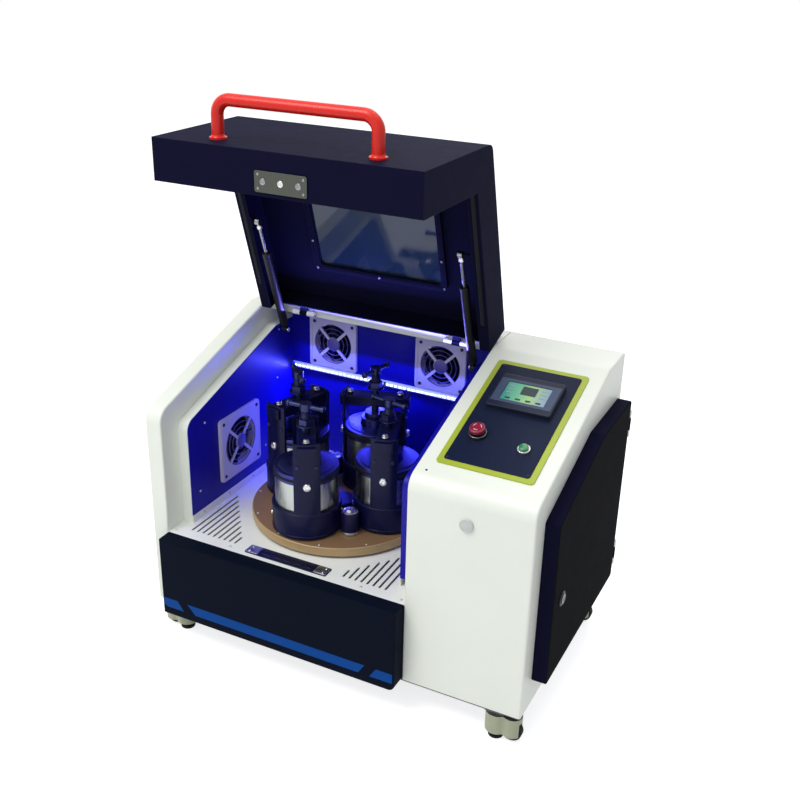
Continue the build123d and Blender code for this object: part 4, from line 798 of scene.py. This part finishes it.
# ---- hood
SEAL_DEPTH = HOOD_PROUD + HOOD_DEPTH
SEAL_HALF, SEAL_HEIGHT, SEAL_TAPER = 0.0045, 0.0015, 0.6
SEAL_INSET = 0.0125
SEAL_FRONT = (DECK_Z + 0.016, BEND_Z - 0.030)
SEAL_SLOPE = (0.060, 0.385)
SKIRT_INWARD = Vector((0, 0, -1))
bm = bmesh.new()
for side in (-1, 1):
    x = MILL.x + side * ((hood_hi.x - hood_lo.x) / 2 - SEAL_INSET)
    front_run = [(opened(FACE_Y + HOOD_DEPTH, z, x), SKIRT_INWARD) for z in SEAL_FRONT]
    slope_run = [(hood_point(x, along, SEAL_DEPTH), -HOOD_OUT) for along in SEAL_SLOPE]
    for run in (front_run, slope_run):
        loops = []
        for point, inward in run:
            half = ACROSS * SEAL_HALF
            crown = inward * SEAL_HEIGHT
            narrow = half * SEAL_TAPER
            corners = (point - half, point + half, point + narrow + crown, point - narrow + crown)
            loops.append([bm.verts.new(corner) for corner in corners])
        stack(bm, loops)
piece("hood_seal", bm, RUBBER, "hood")

WINDOW_MID = 0.225
TRIM_DEPTH, WINDOW_SCREW_DEPTH = 0.013, 0.0145
WINDOW_SCREW_ACROSS, WINDOW_SCREW_ALONG, WINDOW_SCREW_NEAR = 0.163, 0.137, 0.065
WINDOW_SCREW = (0.003, 0.0014)
# each frame: width, height, corner radius and band
WINDOW_TRIM, WINDOW_GASKET = (0.340, 0.288, 0.013, 0.010), (0.318, 0.266, 0.012, 0.005)
TRIM_LEVELS, GASKET_LEVELS = (0, 0.0012), (-0.002, 0.0018)
inner_face = hood_point(MILL.x, WINDOW_MID, TRIM_DEPTH)
outer_face = hood_point(MILL.x, WINDOW_MID, 0)
bm = bmesh.new()
frame_strip(bm, *WINDOW_TRIM, inner_face, -HOOD_OUT, ACROSS, *TRIM_LEVELS)
piece("window_trim_inner", bm, HOOD, "hood")
bm = bmesh.new()
frame_strip(bm, *WINDOW_GASKET, outer_face, HOOD_OUT, ACROSS, *GASKET_LEVELS)
piece("window_gasket", bm, RUBBER, "hood")
bm = bmesh.new()
sides = (-WINDOW_SCREW_ACROSS, WINDOW_SCREW_ACROSS)
rows = (-WINDOW_SCREW_ALONG, WINDOW_SCREW_ALONG)
spots = [(x, along) for x in (sides[0], 0, sides[1]) for along in rows]
spots += [(x, along) for x in sides for along in (-WINDOW_SCREW_NEAR, WINDOW_SCREW_NEAR)]
for x, along in spots:
    at = hood_point(MILL.x + x, WINDOW_MID + along, WINDOW_SCREW_DEPTH)
    screw(bm, at, -HOOD_OUT, *WINDOW_SCREW)
piece("window_screws", bm, ROD, "hood")

HANDLE_RISE = 0.059
HANDLE_COLLAR = [(0.0150, 0.0035), (0.0148, 0.0042), (0.0138, 0.0052), (0.0130, 0.0068),
                 (0.01255, 0.0090)]
handle_at = opened(FACE_Y - HOOD_PROUD, DECK_Z + HANDLE_RISE, MILL.x)
bm = bmesh.new()
for side in (-1, 1):
    lathe(bm, HANDLE_COLLAR, handle_at + ACROSS * side * HANDLE_HALF, UP, 40)
piece("handle_collars", bm, RED, "hood")

EYELET = [(0.0062, 0), (0.0062, 0.0006), (0.0054, 0.0012), (0.0036, 0.0013), (0.0034, 0.0006),
          (0.0001, 0.0005)]
EYELET_APART = 0.039
PLATE_SCREW_X, PLATE_SCREW_Z, PLATE_SCREW = 0.050, 0.0135, (0.0026, 0.0006)
lock_lo, lock_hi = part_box("lock_plate")
LOCK = Vector(((lock_lo.x + lock_hi.x) / 2, lock_lo.y, (lock_lo.z + lock_hi.z) / 2))
bm = bmesh.new()
lathe(bm, EYELET, LOCK, FRONT, 24)
piece("lock_plate_striker", bm, STEEL, "hood")
bm = bmesh.new()
for side in (-1, 1):
    lathe(bm, EYELET, LOCK + ACROSS * side * EYELET_APART, FRONT, 24)
for x in (-PLATE_SCREW_X, PLATE_SCREW_X):
    for z in (-PLATE_SCREW_Z, PLATE_SCREW_Z):
        screw(bm, LOCK + Vector((x, 0, z)), FRONT, *PLATE_SCREW)
piece("lock_plate_fasteners", bm, ROD, "hood")

# ---- gas struts
FOOT_INSET, FOOT_DROP = 0.084, 0.070
HEAD_REACH, HEAD_DEPTH = 0.238, 0.049
CYLINDER_RING = [(0.0102, 0), (0.0106, 0.001), (0.0106, 0.005), (0.0102, 0.006)]
CYLINDER_NOSE = [(0.0101, 0), (0.0104, 0.001), (0.0104, 0.007), (0.0085, 0.0095),
                 (0.0046, 0.0100)]
RING_ALONG, NOSE_ALONG = 0.017, 0.2155
ROD_SOCKET = [(0.0046, 0), (0.0062, 0.001), (0.0062, 0.0070), (0.0052, 0.0085), (0.0044, 0.0100)]
SOCKET_BACK = 0.0180
STUD_CAP = [(0.0062, 0), (0.0062, 0.0012), (0.0048, 0.0030), (0.0001, 0.0034)]
CAP_OUT = 0.0072
BRACKET_SCREW_OUT, BRACKET_SCREW_APART, BRACKET_SCREW = 0.012, 0.0105, (0.0026, 0.0012)
for side, inward in (("left", 1), ("right", -1)):
    rod_lo, rod_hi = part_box(f"strut_rod_{side}")
    x = (rod_lo.x + rod_hi.x) / 2
    foot = Vector((x, REAR_Y - FOOT_INSET, TOP_Z - FOOT_DROP))
    reach_y = HINGE.y - HEAD_REACH
    shut_z = BEND_Z + (reach_y - FACE_Y) * math.tan(SLOPE) - HEAD_DEPTH / math.cos(SLOPE)
    head = opened(reach_y, shut_z, x)
    heading = (head - foot).normalized()
    bm = bmesh.new()
    lathe(bm, CYLINDER_RING, foot + heading * RING_ALONG, heading)
    lathe(bm, CYLINDER_NOSE, foot + heading * NOSE_ALONG, heading)
    piece(f"strut_caps_{side}", bm, BLACK, f"strut_cylinder_{side}")
    bm = bmesh.new()
    lathe(bm, ROD_SOCKET, head - heading * SOCKET_BACK, heading, 24)
    piece(f"strut_socket_{side}", bm, STEEL, f"strut_rod_{side}")
    toward = ACROSS * inward
    bm = bmesh.new()
    lathe(bm, STUD_CAP, foot + toward * CAP_OUT, toward, 24)
    piece(f"strut_stud_cap_{side}", bm, CHROME, "cabinet")
    bm = bmesh.new()
    for y in (-BRACKET_SCREW_APART, BRACKET_SCREW_APART):
        at = foot + Vector((-inward * BRACKET_SCREW_OUT, y, 0))
        screw(bm, at, toward, *BRACKET_SCREW)
    piece(f"strut_base_screws_{side}", bm, STEEL, "cabinet")

# ---- hinge rail
HINGE_APART, HINGE_HALF = 0.200, 0.0297
HINGE_SCREW_APART, HINGE_SCREW_IN, HINGE_SCREW_DROP = 0.022, 0.007, 0.007
HINGE_SCREW = (0.0024, 0.0011)
RAIL_SCREW_PITCH, RAIL_SCREW_INSET, RAIL_SCREW_R = 0.12, 0.045, 0.0032
PIN_HEAD = [(0.0052, 0), (0.0052, 0.0012), (0.0035, 0.0024), (0.0001, 0.0027)]
bm = bmesh.new()
for side in (-1, 1):
    for x in (-HINGE_SCREW_APART, HINGE_SCREW_APART):
        at = (MILL.x + side * HINGE_APART + x, HINGE.y + HINGE_SCREW_IN, TOP_Z - HINGE_SCREW_DROP)
        screw(bm, at, FRONT, *HINGE_SCREW)
for k in range(-2, 3):
    at = (MILL.x + RAIL_SCREW_PITCH * k, REAR_Y - RAIL_SCREW_INSET, TOP_Z)
    screw(bm, at, UP, RAIL_SCREW_R)
piece("rail_screws", bm, STEEL, "cabinet")
bm = bmesh.new()
for side in (-1, 1):
    for end in (-1, 1):
        at = HINGE + ACROSS * (side * HINGE_APART + end * HINGE_HALF)
        lathe(bm, PIN_HEAD, at, ACROSS * end, 24)
piece("hinge_pin_heads", bm, CHROME, "cabinet")

# ---- jar stations
SEAT_Z = TABLE_TOP + 0.004
JAR_Z = SEAT_Z + 0.012
BAR_TOP = SEAT_Z + 0.224
# bands: how far they stand proud, and their lower and upper edge
SEAT_BANDS = ((0.0002, 0.0005, 0.0065), (0.0001, 0.0545, 0.0605))
UPRIGHT_BOLT_Z, UPRIGHT_SCREW_Z, UPRIGHT_SCREW_APART, CUP_BOLT_Z = 0.130, 0.176, 0.020, 0.030
BAR_BOLT_REACH, BAR_BOLT_RISE, BAR_BOLT = 0.059, 0.005, (0.011, 0.0060)
UPRIGHT_BOLT, UPRIGHT_SCREW, CUP_BOLT = (0.0095, 0.0055), (0.0045, 0.0028), (0.0052, 0.0034)
UPRIGHT_BOLT_SINK, CUP_BOLT_SINK = 0.0002, 0.0005
JAR_RINGS = ((0.0001, 0.1165, 0.1178), (0.0021, 0.1240, 0.1306))
LID_FACE = [(0.0620, 0.1378), (0.0620, 0.1392), (0.0580, 0.1398), (0.0350, 0.1398),
            (0.0340, 0.1386)]
THREAD_TURNS = 11
THREAD_LOW, THREAD_HIGH = 0.0345, 0.0185
THREAD_ROOT, THREAD_CREST = 0.0091, 0.0101
TOMMY_TURN, TOMMY_REACH, TOMMY_RISE = 60, 0.0385, 0.062
TOMMY_KNOB = [(0.0052, 0), (0.0070, 0.0008), (0.0074, 0.0035), (0.0066, 0.0062),
              (0.0045, 0.0075), (0.0001, 0.0080)]
CLAMP_WASHER = [(0.0200, 0), (0.0200, 0.0022), (0.0195, 0.0026), (0.0096, 0.0026)]
WASHER_RISE = 0.0176
CLAMP_FOOT = [(0.0242, 0.001), (0.0246, 0.002), (0.0246, 0.0095), (0.0242, 0.0105)]
for number in STATIONS:
    axis_at = joint_at(f"planet_spin_{number}")
    at = Vector((axis_at.x, axis_at.y, 0))
    screw_lo, screw_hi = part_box(f"clamp_screw_{number}")
    angle = math.radians(STATION_PHASE + 90 * (number - 1) + SEAT_TURNS[number - 1])
    across = Vector((math.cos(angle), math.sin(angle), 0))
    beside = Vector((-math.sin(angle), math.cos(angle), 0))
    bm = bmesh.new()
    for out, low, high in SEAT_BANDS:
        band(bm, SEAT_R + out, at, SEAT_Z + low, SEAT_Z + high)
    piece(f"seat_bands_{number}", bm, SEAT, f"station_{number}")
    bm = bmesh.new()
    for side in (-1, 1):
        outward, aside = across * side, beside * side
        upright = at + outward * (SEAT_R - UPRIGHT_BOLT_SINK) + UP * (SEAT_Z + UPRIGHT_BOLT_Z)
        screw(bm, upright, outward, *UPRIGHT_BOLT)
        bar_end = at + outward * BAR_BOLT_REACH + UP * (BAR_TOP + BAR_BOLT_RISE)
        bolt(bm, bar_end, UP, *BAR_BOLT)
        cup = at + aside * (SEAT_R - CUP_BOLT_SINK) + UP * (SEAT_Z + CUP_BOLT_Z)
        screw(bm, cup, aside, *CUP_BOLT)
    piece(f"seat_bolts_{number}", bm, STEEL, f"station_{number}")
    bm = bmesh.new()
    for side in (-1, 1):
        for shift in (-UPRIGHT_SCREW_APART, UPRIGHT_SCREW_APART):
            outward = across * side * math.sqrt(SEAT_R ** 2 - shift ** 2) + beside * shift
            upright = at + outward + UP * (SEAT_Z + UPRIGHT_SCREW_Z)
            screw(bm, upright, outward, *UPRIGHT_SCREW)
    piece(f"upright_screws_{number}", bm, DARK_STEEL, f"station_{number}")
    bm = bmesh.new()
    for out, low, high in JAR_RINGS:
        band(bm, JAR_R + out, at, JAR_Z + low, JAR_Z + high)
    piece(f"jar_seal_ring_{number}", bm, RUBBER, f"station_{number}")
    bm = bmesh.new()
    lathe(bm, LID_FACE, at + UP * JAR_Z, UP, 64)
    # lid face in the lid steel, whose blue is a painted reflection
    piece(f"jar_lid_face_{number}", bm, JAR_LID_PAINTED_REFLECTION, f"station_{number}")
    bm = bmesh.new()
    start, end = BAR_TOP + THREAD_LOW, screw_hi.z - THREAD_HIGH
    pitch = (end - start) / THREAD_TURNS
    thread = []
    for k in range(THREAD_TURNS):
        thread += [(THREAD_ROOT, start + pitch * k), (THREAD_CREST, start + pitch * (k + 0.45)),
                   (THREAD_ROOT, start + pitch * (k + 0.9))]
    lathe(bm, thread, at, UP, 28)
    tommy = angle + math.radians(TOMMY_TURN)
    for side in (-1, 1):
        outward = Vector((math.cos(tommy), math.sin(tommy), 0)) * side
        knob_at = at + outward * TOMMY_REACH + UP * (BAR_TOP + TOMMY_RISE)
        lathe(bm, TOMMY_KNOB, knob_at, outward, 24)
    piece(f"clamp_thread_{number}", bm, DARK_STEEL, f"clamp_{number}")
    bm = bmesh.new()
    lathe(bm, CLAMP_WASHER, at + UP * (BAR_TOP + WASHER_RISE), UP, 40)
    lathe(bm, CLAMP_FOOT, at + UP * screw_lo.z, UP, 48)
    piece(f"clamp_washer_{number}", bm, DARK_STEEL, f"clamp_{number}")

# ---- turntable
POST_WASHER = [(0.0172, 0), (0.0172, 0.0012), (0.0164, 0.0016), (0.0105, 0.0016)]
POST_FLANGE = [(0.0202, 0), (0.0226, 0.001), (0.0226, 0.006), (0.0202, 0.007)]
POST_HEIGHT = 0.052
RIM_SCREWS, RIM_SCREW_ORBIT, RIM_SCREW = 12, 0.199, (0.0030, 0.0015)


def on_table(degrees, orbit):
    """Point on the turntable's top, by its angle and its distance from the axis."""
    angle = math.radians(degrees)
    return Vector((MILL.x + orbit * math.cos(angle), MILL.y + orbit * math.sin(angle), TABLE_TOP))


bm = bmesh.new()
for k in range(4):
    at = on_table(STATION_PHASE + 45 + 90 * k, POST_ORBIT)
    lathe(bm, POST_WASHER, at + UP * POST_HEIGHT, UP, 36)
    lathe(bm, POST_FLANGE, at, UP, 36)
piece("post_collars", bm, STEEL, "turntable")
bm = bmesh.new()
for k in range(RIM_SCREWS):
    screw(bm, on_table(15 + 360 / RIM_SCREWS * k, RIM_SCREW_ORBIT), UP, *RIM_SCREW)
piece("table_rim_screws", bm, STEEL, "turntable")

# ---- control panel
PLATE_LIFT = 0.004
SCREEN_ALONG = 0.290
SCREEN_LIFT = PLATE_LIFT + 0.011
DISPLAY_LIFT = SCREEN_LIFT - 0.0015
WIDGET_LIFT, WIDGET_THICK = DISPLAY_LIFT + 0.0006, 0.0004
KEY_PITCH, KEY_ROW = 0.022, -0.021
BAR_PITCH, BAR_ROW, BAR_COLUMN = 0.011, 0.018, 0.036
PATCH_THICK, DISPLAY_GAP, BAND_SINK = 0.0005, 0.0001, 0.0002
GASKET_FRAME, GASKET_THICK = (0.141, 0.107, 0.006, 0.0022), 0.0012
PANEL_SCREW_X, PANEL_SCREW_ALONG, PANEL_SCREW = 0.083, (0.078, 0.376), (0.0028, 0.0013)


def screen_slab(bm, width, height, x, along, lift, thick, corner=0.001):
    """Flat patch on the touch screen, placed from the screen's middle."""
    at = slope_point(CAB_X + x, SCREEN_ALONG + along, lift)
    slab(bm, rounded(width, height, corner, 2), at, PANEL_UP, ACROSS, 0, thick)


bm = bmesh.new()
screen_slab(bm, 0.0946, 0.0566, 0, 0, DISPLAY_LIFT + DISPLAY_GAP, PATCH_THICK)
piece("screen_display", bm, DISPLAY, "cabinet", False)
bm = bmesh.new()
screen_slab(bm, 0.033, 0.026, 0.004, 0.009, WIDGET_LIFT, WIDGET_THICK)
for k in range(4):
    screen_slab(bm, 0.011, 0.005, -0.033 + KEY_PITCH * k, KEY_ROW, WIDGET_LIFT, WIDGET_THICK)
piece("screen_widgets", bm, WIDGET, "cabinet", False)
bm = bmesh.new()
for k in range(3):
    row = BAR_ROW - BAR_PITCH * k
    for width, x in ((0.016, BAR_COLUMN), (0.012, -BAR_COLUMN)):
        screen_slab(bm, width, 0.0032, x, row, WIDGET_LIFT, WIDGET_THICK, 0.0006)
piece("screen_bars", bm, WIDGET_LIGHT, "cabinet", False)
bm = bmesh.new()
for side in (-1, 1):
    screen_slab(bm, 0.0165, 0.074, side * 0.0565, 0, SCREEN_LIFT - BAND_SINK, PATCH_THICK)
    screen_slab(bm, 0.0965, 0.0080, 0, side * 0.0330, SCREEN_LIFT - BAND_SINK, PATCH_THICK)
piece("screen_glass_band", bm, WINDOW_BAND, "cabinet", False)
bm = bmesh.new()
gasket_at = slope_point(CAB_X, SCREEN_ALONG, PLATE_LIFT)
frame_strip(bm, *GASKET_FRAME, gasket_at, PANEL_UP, ACROSS, 0, GASKET_THICK)
piece("screen_gasket", bm, BLACK, "cabinet")
bm = bmesh.new()
for x in (-PANEL_SCREW_X, PANEL_SCREW_X):
    for along in PANEL_SCREW_ALONG:
        screw(bm, slope_point(CAB_X + x, along, PLATE_LIFT), PANEL_UP, *PANEL_SCREW)
piece("faceplate_screws", bm, DARK_STEEL, "cabinet")

STOP = slope_point(CAB_X - 0.051, 0.156)
START = slope_point(CAB_X + 0.052, 0.140)
STOP_RING = [(0.0184, 0.004), (0.0184, 0.0082), (0.0180, 0.0098), (0.0172, 0.0112),
             (0.0164, 0.0113)]
STOP_SKIRT = [(0.0158, 0), (0.0161, 0.0008), (0.0161, 0.0016)]
STOP_SKIRT_RISE = 0.0167
KNURLS, KNURL = 24, rounded(0.0016, 0.0030, 0.0004, 2)
KNURL_RISE, KNURL_REACH, KNURL_HEIGHT = 0.006, 0.0182, 0.0006
TURN_MARKS, MARK_SWEEP, MARK_STEPS = 3, math.radians(62), 6
MARK_RISE, MARK_REACH, MARK_WIRE = 0.0247, 0.0088, 0.0007
START_RING = [(0.0133, 0.004), (0.0133, 0.0082), (0.0128, 0.0106), (0.0120, 0.0116),
              (0.0107, 0.0116), (0.0105, 0.0110)]
START_LENS = [(0.0088, 0), (0.0088, 0.0003), (0.0072, 0.0012), (0.0040, 0.0018),
              (0.0001, 0.0019)]
LENS_RISE = 0.0159


def on_panel(angle):
    """Direction in the control panel's plane."""
    return ACROSS * math.cos(angle) + PANEL_ALONG * math.sin(angle)


bm = bmesh.new()
lathe(bm, STOP_RING, STOP, PANEL_UP, 48)
for k in range(KNURLS):
    outward = on_panel(2 * math.pi * k / KNURLS)
    at = STOP + PANEL_UP * KNURL_RISE + outward * KNURL_REACH
    slab(bm, KNURL, at, outward, PANEL_UP, 0, KNURL_HEIGHT)
piece("estop_ring", bm, BLACK, "cabinet")
bm = bmesh.new()
lathe(bm, STOP_SKIRT, STOP + PANEL_UP * STOP_SKIRT_RISE, PANEL_UP, 48)
piece("estop_skirt", bm, ESTOP, "estop_button")
bm = bmesh.new()
for k in range(TURN_MARKS):
    points = []
    for step in range(MARK_STEPS + 1):
        around = on_panel(2 * math.pi * k / TURN_MARKS + MARK_SWEEP * step / MARK_STEPS)
        points.append(STOP + PANEL_UP * MARK_RISE + around * MARK_REACH)
    wire(bm, points, MARK_WIRE)
piece("estop_turn_marks", bm, ESTOP_MARK, "estop_button")
bm = bmesh.new()
lathe(bm, START_RING, START, PANEL_UP, 48)
piece("start_ring", bm, CHROME, "cabinet")
bm = bmesh.new()
lathe(bm, START_LENS, START + PANEL_UP * LENS_RISE, PANEL_UP, 40)
piece("start_lens", bm, GREEN, "start_button")

# ---- cabinet fittings
PLUG = Vector((CAB_X - 0.005, FACE_Y, BEND_Z - 0.067))
PLUG_FORM = [(0.0142, 0), (0.0147, 0.0010), (0.0147, 0.0030), (0.0136, 0.0046), (0.0118, 0.0050),
             (0.0112, 0.0044), (0.0060, 0.0052), (0.0001, 0.0056)]
BEND_SCREW_AT, BEND_SCREW = slope_point(CAB_X - 0.108, 0.034), (0.0024, 0.0010)
DOOR_LOCK = Vector((RIGHT_X + 0.031, FACE_Y + 0.106, BASE_Z + 0.242))
ESCUTCHEON = [(0.0160, -0.0002), (0.0160, 0.0012), (0.0150, 0.0020), (0.0114, 0.0022)]
DOOR_HINGE_Z, DOOR_HINGE_Y = (0.124, 0.456), 0.515
DOOR_SCREW_APART, DOOR_SCREW = 0.032, (0.0022, 0.0010)
INLET = Vector((CAB_X - 0.040, REAR_Y + 0.006, BASE_Z + 0.060))
INLET_PIN, ROCKER = rounded(0.0018, 0.006, 0.0005, 2), rounded(0.018, 0.026, 0.002)
PIN_PITCH, PINS_ACROSS, PINS_IN = 0.007, 0.012, 0.0048
LIVE_RISE, EARTH_RISE = 0.002, -0.003
PIN_LENGTH, PIN_CHAMFER = 0.0042, 0.0003
ROCKER_ACROSS, ROCKER_LEVELS = 0.018, (-0.001, 0.0012, 0.0006)
REAR_SCREW_INSET, REAR_SCREW_Z, REAR_SCREW = 0.040, (0.05, 0.30, 0.575), (0.0034, 0.0018)
bm = bmesh.new()
lathe(bm, PLUG_FORM, PLUG, FRONT, 44)
piece("blanking_plug", bm, PALE, "cabinet")
bm = bmesh.new()
screw(bm, BEND_SCREW_AT, PANEL_UP, *BEND_SCREW)
piece("bend_screw", bm, DARK_STEEL, "cabinet")
bm = bmesh.new()
lathe(bm, ESCUTCHEON, DOOR_LOCK, ACROSS, 40)
piece("lock_escutcheon", bm, BLACK, "side_door")
bm = bmesh.new()
for z in DOOR_HINGE_Z:
    for shift in (-DOOR_SCREW_APART, DOOR_SCREW_APART):
        at = (RIGHT_X, FACE_Y + DOOR_HINGE_Y, BASE_Z + z + shift)
        screw(bm, at, ACROSS, *DOOR_SCREW)
piece("door_hinge_screws", bm, STEEL, "cabinet")
bm = bmesh.new()
for k in (-1, 0, 1):
    rise = LIVE_RISE if k else EARTH_RISE
    at = INLET + Vector((PINS_ACROSS + PIN_PITCH * k, -PINS_IN, rise))
    slab(bm, INLET_PIN, at, REAR, ACROSS, 0, PIN_LENGTH, PIN_CHAMFER)
piece("inlet_pins", bm, STEEL, "cabinet")
bm = bmesh.new()
slab(bm, ROCKER, INLET - ACROSS * ROCKER_ACROSS, REAR, ACROSS, *ROCKER_LEVELS)
piece("inlet_rocker", bm, BLACK, "cabinet")
bm = bmesh.new()
for x in (deck_lo.x + REAR_SCREW_INSET, MILL.x, deck_hi.x - REAR_SCREW_INSET):
    for z in REAR_SCREW_Z:
        screw(bm, (x, REAR_Y, BASE_Z + z), REAR, *REAR_SCREW)
piece("rear_screws", bm, STEEL, "cabinet")

# ---- casters
WHEEL_HUB = [(0.0120, -0.0005), (0.0120, 0.0004), (0.0100, 0.0009), (0.0062, 0.0009),
             (0.0055, 0.0002)]
PAD_RUBBER = [(0.0160, 0.0004), (0.0166, 0.0012), (0.0166, 0.0060), (0.0150, 0.0070),
              (0.0100, 0.0074)]
HUB_OUT, AXLE_OUT = 0.0088, 0.0148
for corner in CORNERS:
    pivot = joint_at(f"caster_swivel_{corner}")
    axle = joint_at(f"caster_roll_{corner}")
    along = Vector(JOINTS[f"caster_roll_{corner}"]["axis"]).normalized()
    bm = bmesh.new()
    for end in (-1, 1):
        lathe(bm, WHEEL_HUB, axle + along * end * HUB_OUT, along * end)
    piece(f"wheel_hubs_{corner}", bm, STEEL, f"caster_wheel_{corner}")
    bm = bmesh.new()
    for end in (-1, 1):
        lathe(bm, PIN_HEAD, axle + along * end * AXLE_OUT, along * end, 20)
    piece(f"axle_caps_{corner}", bm, STEEL, f"caster_yoke_{corner}")
    bm = bmesh.new()
    lathe(bm, PAD_RUBBER, (pivot.x, pivot.y, 0), UP, 36)
    piece(f"pad_rubber_{corner}", bm, RUBBER, f"caster_yoke_{corner}")
